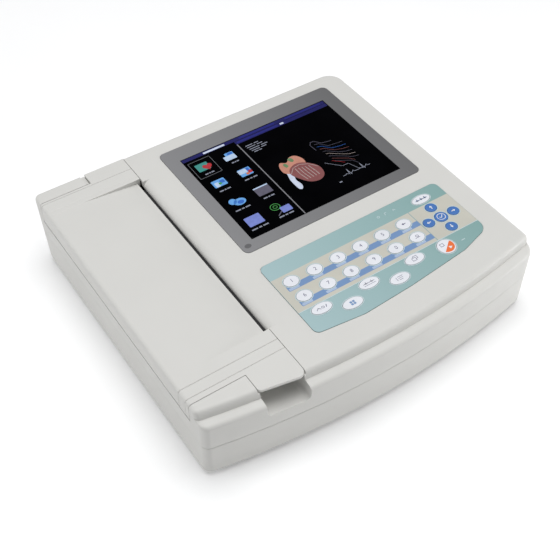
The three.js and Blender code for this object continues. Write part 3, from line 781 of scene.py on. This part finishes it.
def curve_points(x0, x1, y, height, beats):
    """A heart-rhythm trace: flat, small bump, sharp spike and a rounder wave, repeated."""
    shape = [(0, 0), (0.2, 0), (0.27, 0.18), (0.34, 0), (0.42, 0), (0.45, -0.15), (0.5, 1), (0.55, -0.3),
             (0.6, 0), (0.7, 0.05), (0.78, 0.3), (0.86, 0), (1, 0)]
    points = []
    for beat in range(beats):
        points += [(lerp(x0, x1, (beat + t) / beats), y + height * v)
                   for t, v in shape[min(beat, 1):]]
    return points


def heart_outline(size):
    points = []
    for k in range(40):
        t = 2 * math.pi * k / 40
        x = 16 * math.sin(t) ** 3
        y = 13 * math.cos(t) - 5 * math.cos(2 * t) - 2 * math.cos(3 * t) - math.cos(4 * t)
        points.append((x * size / 16, y * size / 16))
    return points


def blob(points):
    """A soft closed outline through the points."""
    outline = []
    count = len(points)
    for i in range(count):
        p0, p1, p2, p3 = (Vector(points[(i + k) % count]) for k in (-1, 0, 1, 2))
        for step in range(4):
            t = step / 4
            place = 0.5 * (2 * p1 + (p2 - p0) * t + (2 * p0 - 5 * p1 + 4 * p2 - p3) * t * t
                           + (3 * p1 - p0 - 3 * p2 + p3) * t * t * t)
            outline.append(tuple(place))
    return outline


# Rectangles and discs of the icons: colour, icon, half width, half height, offset from its centre.
ICON_BOXES = (
    ("teal", 0, 6.6, 5.6, -1.4, 0.6), ("white", 0, 4.2, 3.6, -3, 1.4), ("white", 1, 6.4, 3.4, -1, -2.4),
    ("white", 2, 2.2, 3.4, -3, -1), ("white", 3, 4.6, 3, -2.4, 1.6), ("red", 3, 2, 2, 4.6, -1.6),
    ("sky", 1, 4.6, 3.4, 0.6, 1.8), ("sky", 2, 7, 5, 0, 0.6), ("sky", 3, 6.6, 5.4, 0, 0),
    ("blue", 1, 3, 1.4, 1.6, 3), ("blue", 2, 2.4, 2.2, 3.4, 1.4), ("blue", 3, 2.4, 2.2, 3, 2.4),
    ("green", 2, 1.6, 1.3, 0.4, -0.6), ("orange", 3, 1.6, 1.5, 1, -3.2), ("orange", 5, 2.6, 2, -1, -0.6),
    ("violet", 6, 8.2, 6.4, 0, 0), ("violet", 7, 5.4, 4, 4.2, -3.4), ("grey", 5, 8, 5.4, 0, -0.8),
)
ICON_DISCS = (("sky", 4, 6.4, 4.6, 2.4, -1), ("sky", 4, 4, 4, -3.6, 2.2), ("blue", 4, 3.4, 2.4, 3, -1.8))


def draw_bars(shapes):
    """Title bars, the divider, and short bars in place of lines of text."""
    for colour, x0, x1, low, high, radius in (
        ("navy", SCREEN_LEFT, SCREEN_RIGHT, 4.6, 0.2, 0), ("navy", DIVIDER, SCREEN_RIGHT, 9.6, 4.9, 0),
        ("bar_light", DIVIDER + 7, 73, 3.6, 1.2, 0.5), ("bar_light", DIVIDER + 2, 74, 8.4, 6, 0.5),
        ("bar_light", 86, 131, 3.4, 1.4, 0.5), ("pale", -11.5, 13, 3.9, 1.4, 0.4),
        ("pale", 77, 81.5, 8.2, 5.8, 0.4),
    ):
        shapes[colour].append(rect(x0, x1, SCREEN_REAR - low, SCREEN_REAR - high, radius, 2))
    shapes["divider"].append(rect(DIVIDER, DIVIDER + 1.1, SCREEN_FRONT, SCREEN_REAR - 9.8))
    for x, y, length in ((29, 109.5, 15), (29, 106.6, 18), (30, 103.4, 21), (31, 100.6, 17), (32, 97.9, 9)):
        shapes["caption"] += [rect(x, x + 0.55 * length, y, y + 1),
                              rect(x + 0.65 * length, x + length, y, y + 1)]


def draw_icons(shapes):
    """Eight icons of flat shapes with bars as captions; the first is framed."""
    places = [(x, y) for y in (106.9, 78.5, 47.4, 18.0) for x in (-20.6, 8.6)]
    for colour, icon, half_x, half_y, dx, dy in ICON_BOXES:
        x, y = places[icon][0] + dx, places[icon][1] + dy
        shapes[colour].append(rect(x - half_x, x + half_x, y - half_y, y + half_y, 0.8, 2))
    for colour, icon, rx, ry, dx, dy in ICON_DISCS:
        shapes[colour].append(ellipse(places[icon][0] + dx, places[icon][1] + dy, rx, ry, 20))
    for (x, y), wide in zip(places, (5, 4, 6, 7, 8, 6, 9, 8)):
        for start, length in ((0, 0.7), (0.85, 0.35), (1.35, 0.65)):
            left = x - wide + start * wide
            shapes["caption"].append(rect(left, left + length * wide, y - 11.2, y - 9.7))
    x, y = places[0]
    frame_line = rect(x - 12, x + 12, y - 14, y + 11.6)
    shapes["frame"] += stroke([*frame_line, frame_line[0]], 0.45)
    shapes["red"] += around([heart_outline(5)], x + 3, y - 1.2)
    x, y = places[5]
    shapes["white"].append(rect(x - 8, x + 8, y + 4.6, y + 6.2))
    shapes["orange"].append(ellipse(*places[6], 1.6, 1.8, 14))
    x, y = places[7]
    shapes["green"] += ring(x - 3.6, y + 3.6, 5.2, 4.6, 0.7) + ring(x - 3.6, y + 3.6, 2.4, 2.1, 0.6)
    shapes["grey"] += stroke([(x - 7, y - 8), (x - 1, y - 4)], 1)


def draw_heart(shapes):
    """A stylised heart: upper part, ribbed lower part and a vessel down its left side."""
    for colour, points in (
        ("flesh", [(39, 64), (43, 70), (49, 67), (55, 72), (62, 71), (66, 62), (62, 53), (48, 50), (39, 55)]),
        ("flesh_dark", [(47, 58), (57, 61), (67, 55), (73, 45), (71, 34), (63, 29), (53, 32), (46, 42),
                        (43, 51)]),
        ("pale", [(41, 60), (45, 59), (46, 50), (43, 42), (44, 33), (41, 28), (38, 31), (38, 44), (40, 52)]),
        ("moss", [(52, 70), (56, 71), (57, 66), (54, 65)]),
        ("moss", [(44, 66), (47, 66.6), (48, 62), (45, 61)]),
    ):
        shapes[colour].append(blob(points))
    for i in range(5):
        rib = [(51 + 3.4 * i, 55 - 0.8 * i), (51 + 3.8 * i, 46 - i), (53 + 3.4 * i, 36)]
        shapes["rib"] += stroke(rib, 0.6)
    shapes["rib"] += stroke([(44, 51), (50, 57), (58, 58), (66, 54), (72, 46)], 0.5)


def draw_traces(shapes):
    """Fine lines that fan out at the right of the heart, and a heart-rhythm trace below them."""
    for i, colour in enumerate(("grey", "blue", "flesh_dark", "grey", "rib", "grey", "flesh_dark", "grey")):
        y = 74 - 4.4 * i
        line = [(87 + 0.5 * i, y), (92, y - 1.2), (98 + i, y - 9), (108, y - 10.5 - 0.6 * i),
                (114 + 0.2 * i, y - 11 - 0.8 * i)]
        shapes[colour] += stroke(line[:4] if i > 5 else line, 0.32)
    for colour, line, width in (
        ("grey", [(84, 66), (83, 75), (86, 79), (90, 78.4), (95, 72), (105, 70)], 0.45),
        ("caption", [(80, 46), (92, 33), (99, 33), (104, 20)], 0.4),
        ("caption", curve_points(84, 116, 20.5, 7, 2), 0.55), ("red", [(88, 45), (97, 36)], 0.3),
    ):
        shapes[colour] += stroke(line, width)
    shapes["caption"].append(rect(75.5, 78.5, 14.4, 15.8))


def make_screen():
    """Flat shapes of a generic start screen, one piece and one thin layer for each colour."""
    shapes = {colour: [] for colour in SCREEN_COLOURS}
    for draw in (draw_bars, draw_icons, draw_heart, draw_traces):
        draw(shapes)
    for level, (colour, outlines) in enumerate(shapes.items()):
        bottom = LIT_LEVEL + 0.014 * level
        artwork(f"screen_{colour}", outlines, bottom, bottom + 0.02, SCREEN_LOOK[colour], "case", "screen")


# ---- keypad ----
DIGITS = ["1", "2", "3", "4", "5", "6", "7", "8", "9", "0"]
FUNCTION_KEYS = ["upper_function", "lower_function", "mode", "menu", "lead", "gain", "copy", "start_stop",
                 "reset"]
NAV_KEYS = ["ok", "right", "left", "up", "down"]
ALL_KEYS = DIGITS + FUNCTION_KEYS + NAV_KEYS
PAD_TOP, KEY_TOP = 80.4, 81.06
LAYER_STEP = 0.03  # thickness of one flat layer of print, and of the pale strips' painted highlight


def key_frame(name):
    """Centre and half sizes of a key, from its CAD node."""
    low, high = span(f"key_{name}")
    return (low.x + high.x) / 2, (low.y + high.y) / 2, (high.x - low.x) / 2, (high.y - low.y) / 2


def key_holes(margin):
    """Cutters for every key, grown by a margin."""
    holes = []
    for name in ALL_KEYS:
        x, y, rx, ry = key_frame(name)
        holes.append(prism("hole", ellipse(x, y, rx + margin, ry + margin, 40), 70, 90))
    return holes


def print_and_highlight_area(name, outlines, level, material):
    """A flat area on the film, clipped to the pad and cleared round every key; the pale strips are a painted
    highlight, the rest is print.
    """
    bottom = PAD_TOP + LAYER_STEP * level
    area = patches(name, outlines, bottom, bottom + LAYER_STEP)
    keep(area, prism("limit", pad_outline(0.15), 70, 90))
    cut(area, *key_holes(0.25))
    finish(area, material, "case", "membrane")


def make_keypad():
    film = prism("keypad_film", pad_outline(), 79.5, PAD_TOP)
    cut(film, *key_holes(0.3))
    soften(film, 0.12)
    finish(film, TEAL, "case", "membrane", "keypad_membrane")
    left, right, front, rear = -60, 160, -97, -54               # the sand area, wider than the pad
    seam, seam_end = 102.6, 103.5
    print_and_highlight_area("keypad_sand", [rect(left, seam, front, rear), rect(seam_end, right, front, rear)], 0, SAND)
    rows = [key_frame(name) for name in DIGITS + ["upper_function", "lower_function"]]
    bars = [rect(first[0] - 8, last[0] + 13.2, first[1] - 9.6, first[1] - 3.2, 1.2, 3)
            for first, last in ((rows[0], rows[10]), (rows[5], rows[11]))]
    print_and_highlight_area("keypad_bars", bars, 1, BAR_BLUE)
    # Pale strips on the blue bars below each key: painted highlights.
    strips = [rect(x - 7.2, x + 3.4, y - 9.2, y - 6.4, 0.8, 3) for x, y, _, _ in rows]
    print_and_highlight_area("keypad_painted_highlights", strips, 2, PALE_HIGHLIGHT)
    print_and_highlight_area("keypad_seam", [rect(seam, seam_end, front, rear)], 0, SEAM_GREY)
    print_and_highlight_area("keypad_edge", [rect(left, right, front - 0.5, front + 0.2)], 3, HALO)
    halos = []
    for name in ALL_KEYS:
        x, y, rx, ry = key_frame(name)
        halos += ring(x, y, rx + 1.1, ry + 1.1, 0.75, 36)
    artwork("keypad_halos", halos, PAD_TOP + 0.12, PAD_TOP + 0.14, HALO, "case", "membrane")
    marks = ring(76.5, -43.2, 1.5, 1.3, 0.5, 16) + stroke([(84, -44.4), (84, -42), (86.4, -42)], 0.6)
    marks += stroke([(93.4, -44), (94.6, -42), (95.8, -44)], 0.6)
    marks += stroke([(121, -108.6), (124.6, -108.6)], 0.8)
    artwork("keypad_marks", marks, PAD_TOP, PAD_TOP + LAYER_STEP, HALO, "case", "membrane")


def key_dome(name, look, slot):
    x, y, rx, ry = key_frame(name)
    bottom = span(f"key_{name}")[0].z
    rows = [(0.99, bottom), (1, bottom + 0.2), (1, 80.5), (0.99, 80.72), (0.965, 80.88), (0.92, 80.99),
            (0.84, KEY_TOP)]
    loops = [[(px, py, z) for px, py in ellipse(x, y, rx * r, ry * r, 48)] for r, z in rows]
    dome = shade(loft(f"keycap_{name}", loops))
    return finish(dome, look, f"key_{name}", slot, f"key_{name}")


def key_mark(name, outlines, look=INK, prefix="mark", slot="key_white"):
    """Printing on a key, drawn about its centre."""
    x, y, _, _ = key_frame(name)
    artwork(f"{prefix}_{name}", around(outlines, x, y), KEY_TOP, KEY_TOP + LAYER_STEP, look,
            f"key_{name}", slot)


def key_digit(name):
    x, y, _, _ = key_frame(name)
    curve = bpy.data.curves.new(f"digit_{name}", "FONT")
    curve.body = name
    curve.size = 5.6 * MM
    curve.extrude = 0.012 * MM
    curve.align_x, curve.align_y = "CENTER", "CENTER"
    source = bpy.data.objects.new("source", curve)
    bpy.context.scene.collection.objects.link(source)
    bpy.context.view_layer.update()
    evaluated = source.evaluated_get(bpy.context.evaluated_depsgraph_get())
    mesh = bpy.data.meshes.new_from_object(evaluated)
    bpy.data.objects.remove(source)
    digit = bpy.data.objects.new(f"digit_{name}", mesh)
    bpy.context.scene.collection.objects.link(digit)
    mesh.transform(Matrix.Translation(Vector((x + 0.6, y, KEY_TOP + 0.014)) * MM))
    finish(digit, INK, f"key_{name}", "key_white")


ARROW = [[(-2.2, -0.45), (0.4, -0.45), (0.4, 0.45), (-2.2, 0.45)], [(0.2, -1.5), (2.2, 0), (0.2, 1.5)]]


def make_keys():
    for name in DIGITS:
        key_dome(name, KEY_WHITE, "key_white")
        key_digit(name)
    for name in FUNCTION_KEYS:
        key_dome(name, KEY_WHITE, "key_white")
    for name in NAV_KEYS:
        key_dome(name, KEY_BLUE, "key_blue")
    key_mark("upper_function", around(ARROW, 0, 0, 180))
    key_mark("lower_function", stroke([(-2.6, -1), (2.4, -1)], 0.5) + ring(0.4, 1, 1.6, 1.5, 0.5, 18))
    key_mark("mode", stroke([(-5.4, -0.9), (-3.2, 0.9), (-1.4, -0.9)], 0.6) + ring(1.2, 0, 1.5, 1.3, 0.5, 16)
             + stroke([(4, -1.2), (5.2, 1.2)], 0.7))
    key_mark("menu", [rect(-2.6 + 2.7 * i, -0.4 + 2.7 * i, -2.4 + 2.5 * j, -0.3 + 2.5 * j, 0.3, 2)
                      for i in (0, 1) for j in (0, 1)], BAR_BLUE)
    key_mark("lead", stroke(curve_points(-6, 6, 0.2, 1.7, 2), 0.45) + stroke([(-6, -1.8), (6, -1.8)], 0.35))
    lines = [(-3.4, -2, -3.4, 2), (-1.6, 1.8, 3.8, 1.8), (-1.6, 0, 3, 0), (-1.6, -1.8, 2.2, -1.8)]
    key_mark("gain", [stroke([(x0, y0), (x1, y1)], 0.45)[0] for x0, y0, x1, y1 in lines])
    key_mark("copy", [*stroke([(-2.8, -2.2), (1.2, -2.2), (1.2, 1), (-2.8, 1), (-2.8, -2.2)], 0.45),
                      *stroke([(-0.8, 1.2), (-0.8, 2.6), (3.2, 2.6), (3.2, -0.6), (1.4, -0.6)], 0.45)])
    key_mark("reset", stroke(curve_points(-6.6, 6.6, -0.4, 2.2, 3), 0.6), KEY_BLUE)
    half = [(x, y) for x, y in ellipse(0, 0, 7.6, 7.4, 64) if y < 0.75 * x - 0.6]
    key_mark("start_stop", [half], KEY_ORANGE, "orange", "key_orange")
    square = rect(-4.6, -1.2, 1.4, 4.6)
    key_mark("start_stop", stroke([*square, square[0]], 0.5))
    triangle = [[(1.4, -4.6), (4.6, -2.8), (1.4, -1)]]
    x, y, _, _ = key_frame("start_stop")
    artwork("triangle_start_stop", around(triangle, x, y), KEY_TOP + 0.03, KEY_TOP + 0.04, KEY_WHITE,
            "key_start_stop", "key_white")
    tick = stroke([(-1.8, 0.1), (-0.5, -1.5), (2, 1.6)], 0.75)
    key_mark("ok", ring(0, 0, 4.4, 4.1, 0.6, 30) + tick, KEY_WHITE)
    for name, angle in (("right", 0), ("up", 90), ("left", 180), ("down", 270)):
        key_mark(name, around(ARROW, 0, 0, angle), KEY_WHITE)


# ---- printer mechanism and other carried-over pieces ----
def dress(node, material, width):
    """Gives a carried-over CAD node rounded edges, smooth shading and a material."""
    obj = frame["nodes"][node]
    obj.data.materials.clear()
    obj.data.materials.append(material)
    round_edges(obj, width, 2, 34, "MITER_SHARP")


def solid_piece(name, piece, material, slot, width=0.2):
    piece.name = name
    soften(piece, width)
    return finish(piece, material, "case", slot)


def make_ports():
    """What shows inside the three connectors of the right wall."""
    low, high = span("lead_connector")
    middle = centre_of("lead_connector")
    y, z, floor = middle.y, middle.z, low.x + 1.3
    outline = rounded([(y - 13, z - 3.4, 1.6), (y + 13, z - 3.4, 1.6), (y + 14.2, z + 3.4, 1.6),
                       (y - 14.2, z + 3.4, 1.6)], 4)
    solid_piece("lead_insert", prism_x("insert", outline, floor, low.x + 4.4), BLACK, "black_plastic")
    pins = [ellipse(y - start + 2.8 * i, z + up, 0.5, 0.5, 12)
            for start, up, count in ((9.8, 1.4, 8), (8.4, -1.4, 7)) for i in range(count)]
    contacts = shade(patches("lead_pins", pins, low.x + 4.2, low.x + 7, True))
    finish(contacts, BRASS, "case", "brass")
    for side, end in ((-1, "front"), (1, "rear")):
        post = prism_x("post", ellipse(y + 16.6 * side, z, 1.7, 1.7, 6), floor, high.x - 0.1)
        cut(post, prism_x("bore", ellipse(y + 16.6 * side, z, 0.8, 0.8, 16), high.x - 4, high.x + 1))
        solid_piece(f"lead_post_{end}", post, STEEL, "steel", 0.12)
    low, high = span("usb_port")
    middle = centre_of("usb_port")
    y, z = middle.y, middle.z
    tongue = block("tongue", low.x + 1.3, high.x - 2, y - 5.4, y + 5.4, z + 0.4, z + 2.3)
    solid_piece("usb_tongue", tongue, BLACK, "black_plastic", 0.15)
    strips = [rect(high.x - 9, high.x - 3, y - 3.9 + 2.2 * i, y - 2.7 + 2.2 * i, 0.2, 2) for i in range(4)]
    artwork("usb_contacts", strips, z + 0.3, z + 0.45, BRASS, "case", "brass")
    low, high = span("network_port")
    middle = centre_of("network_port")
    y, z = middle.y, middle.z
    springs = [rect(low.x + 1.3, high.x - 4, y - 4 + 1.1 * i, y - 3.5 + 1.1 * i) for i in range(8)]
    artwork("network_contacts", springs, z + 3.2, z + 3.7, BRASS, "case", "brass")
    liner = block("liner", low.x + 1.3, high.x - 3, y - 7.2, y + 7.2, z + 3.8, z + 5.7)
    solid_piece("network_liner", liner, BLACK, "black_plastic", 0.15)


def make_rear_fittings():
    middle = centre_of("mains_inlet")
    rear = span("mains_inlet")[1].y
    for name, dx, dz in (("live", -7, -1.6), ("neutral", 7, -1.6), ("earth", 0, 2.4)):
        x, z = middle.x + dx, middle.z + dz
        pin = block("pin", x - 1, x + 1, rear - 14.8, rear - 3.5, z - 2, z + 2)
        solid_piece(f"inlet_pin_{name}", pin, STEEL, "steel", 0.4)
    low, high = span("fuse_cap")
    x, z = centre_of("fuse_cap").x, centre_of("fuse_cap").z
    reach, rear = (high.x - low.x) / 2, high.y
    rows = [(reach - 2, low.y), (reach - 2, BACK + 0.3), (reach, BACK + 0.3), (reach, rear - 0.9),
            (reach - 1, rear - 0.1), (reach - 1.8, rear - 0.1), (reach - 2.2, rear - 0.6), (0.5, rear - 0.6)]
    cap = loft("fuse_holder", [[(px, y, pz) for px, pz in ellipse(x, z, r, r, 40)] for r, y in rows])
    cut(cap, block("slot", x - 4, x + 4, rear - 1.2, rear + 1, z - 0.6, z + 0.6))
    soften(cap, 0.15)
    finish(cap, BLACK, "case", "black_plastic", "fuse_cap")
    low, high = span("power_switch")
    x, y, z = centre_of("power_switch")
    half, tip, dip = (high.x - low.x) / 2, high.y - 0.3, high.y - 1.9

    def face(height):
        """Depth of the rocker's face, which dips in the middle."""
        return lerp(dip, tip, min(1.0, abs(height - z) / 5.2))

    section = [(y - 3, z - 4.6), (dip, z - 5.6), (tip, z - 5.2), (dip, z), (tip, z + 5.2), (dip, z + 5.6),
               (y - 3, z + 4.6)]
    rocker = prism_x("rocker", section, x - half + 0.1, x + half - 0.1)
    soften(rocker, 0.4, 3)
    finish(rocker, BLACK, "power_switch", "black_plastic", "power_switch")
    marks = {"on": [rect(x - 0.35, x + 0.35, z + 1.8, z + 4.2)], "off": ring(x, z - 3, 1.3, 1.2, 0.4, 20)}
    for name, outlines in marks.items():
        mark = patches(f"switch_mark_{name}", outlines, 0, 1)
        for vertex in mark.data.vertices:
            px, pz, level = vertex.co / MM
            vertex.co = Vector((px, face(pz) + (0.05 if level > 0.5 else -0.3), pz)) * MM
        finish(mark, KEY_WHITE, "power_switch", "key_white")
    frame_ring = block("frame", x - half - 3, x + half + 3, BACK - 1, BACK + 1, z - 9.4, z + 9.4)
    cut(frame_ring, block("hole", x - half - 0.5, x + half + 0.5, BACK - 3, BACK + 3, z - 6.9, z + 6.9))
    solid_piece("switch_frame", frame_ring, BLACK, "black_plastic", 0.3)


# CAD nodes that are shown as they are: material, width of the rounded edges, nodes.
DRESSED = (
    (STEEL, 0.3, "platen_shaft lead_connector"), (STEEL, 0.25, "usb_port network_port"),
    (STEEL, 0.2, "hinge_rod"), (ALLOY, 0.3, "head_bracket"), (ALLOY, 0.4, "display_module"),
    (BRASS, 0.1, "motor_pinion"), (BRASS, 0.25, "equipotential_post"),
    (BLACK, 0.5, "stepper_motor paper_tray"), (BLACK, 0.35, "mains_inlet"),
    (NYLON, 0.12, "platen_gear drive_gear"), (NYLON, 0.4, "paper_core"),
    (RUBBER, 0.5, "foot_front_left foot_front_right foot_rear_left foot_rear_right"),
    (RUBBER, 0.4, "platen_sleeve"), (CERAMIC, 0.3, "thermal_print_head"), (WRAP, 0.8, "battery_pack"),
    (BOARD, 0.2, "mainboard power_supply_board keypad_board"),
    (CASING, 0.35, "battery_door"), (CASING, 0.3, "port_panel"),
)


def make_mechanism():
    for material, width, nodes in DRESSED:
        for node in nodes.split():
            dress(node, material, width)
    middle = centre_of("paper_roll")
    dress("paper_roll", wound("wound_paper", (240, 238, 230), middle.x, middle.z), 0.3)
    low, high = span("thermal_print_head")
    left, right, bottom, top = low.x - 0.1, low.x + 0.4, high.z - 7.2, high.z - 4.6
    outline = rounded([(left, bottom, 0.1), (right, bottom), (right, top), (left, top, 0.1)], 3)
    heater = prism_y("heater_line", outline, low.y + 2, high.y - 2)
    finish(heater, BLACK, "case", "ceramic")
    section = [(-82.3, 70.4), (-78.4, 70.4), (-78.4, 72.6), (-79.2, 72.6), (-82.3, 71.2)]
    guide = prism_y("guide", section, SLOT_FRONT + 2, 119)
    solid_piece("paper_guide", guide, BLACK, "black_plastic", 0.2)
    stepper = centre_of("stepper_motor")
    low, high = span("stepper_motor")
    can = rod_y("stepper_can", 13.4, stepper.x + 3, low.z + 17.2, high.y - 0.2, high.y + 1.2, 40)
    solid_piece("stepper_can", can, STEEL, "steel", 0.5)


def make_underside():
    low, high = span("battery_door")
    x, y = (low.x + high.x) / 2, low.y
    latch = prism("latch", rect(x - 9, x + 9, y + 2, y + 7, 2, 4), low.z - 0.5, low.z + 0.3)
    for i in range(4):
        cut(latch, block("grip", x - 6, x + 6, y + 2.9 + i, y + 3.3 + i, low.z - 1, low.z - 0.2))
    solid_piece("battery_latch", latch, CASING, "casing", 0.2)
    plate = prism("rating_plate", rect(-60, 10, -70, -28, 2, 4), BASE - 0.12, BASE + 0.1)
    solid_piece("rating_plate", plate, ALLOY, "alloy", 0.05)


# ---- camera, floor and lights ----
def set_camera():
    """The view of the photo, as it was fitted to the edges of the screen."""
    camera = bpy.data.objects.new("camera", bpy.data.cameras.new("camera"))
    bpy.context.scene.collection.objects.link(camera)
    right = Vector((0.82711, -0.56203, 0.00427))
    up = Vector((0.41636, 0.61781, 0.66705))
    back = right.cross(up)
    turn = Matrix((right, up, back)).transposed().to_4x4()
    camera.matrix_world = Matrix.Translation((-0.35787, -0.51582, 0.70227)) @ turn
    camera.data.lens = 61.62
    camera.data.sensor_width = 36
    bpy.context.scene.camera = camera


def add_light(name, place, size, power, target=(0, 0, 0.05)):
    data = bpy.data.lights.new(name, "AREA")
    data.shape = "RECTANGLE"
    data.size, data.size_y = size
    data.energy = power
    light = bpy.data.objects.new(name, data)
    bpy.context.scene.collection.objects.link(light)
    light.location = place
    light.rotation_euler = (Vector(target) - Vector(place)).to_track_quat("-Z", "Y").to_euler()


def make_floor():
    n = Nodes("floor_paint")
    n.link(n.ramp(n.noise(3, 2), [(0.3, (0.93, 0.93, 0.93, 1)), (0.7, (0.95, 0.95, 0.95, 1))]),
           n.shader.inputs["Base Color"])
    n.set(Roughness=0.6, Emission_Color=(1, 1, 1, 1), Emission_Strength=0.1)
    floor = block("floor", -4000, 4000, -4000, 4000, -20, 0)
    floor.data.materials.append(n.material)


def set_world():
    world = bpy.data.worlds.new("studio")
    world.use_nodes = True
    world.node_tree.nodes["Background"].inputs["Color"].default_value = (0.95, 0.97, 1.0, 1)
    world.node_tree.nodes["Background"].inputs["Strength"].default_value = 0.27
    bpy.context.scene.world = world
    bpy.context.scene.view_settings.view_transform = "Standard"


make_upper_casing()
make_lower_casing()
make_screws()
make_printer_door()
make_door_inside()
make_display()
make_screen()
make_keypad()
make_keys()
make_ports()
make_rear_fittings()
make_mechanism()
make_underside()
make_floor()
set_camera()
set_world()
add_light("top_light", (0.1, 0.1, 1.9), (1.6, 1.6), 29)
add_light("front_light", (0.85, -0.65, 0.18), (0.5, 0.3), 4.2, (0.1, -0.15, 0.03))
add_light("left_light", (-1.6, 0.6, 0.7), (0.9, 0.9), 6.6)
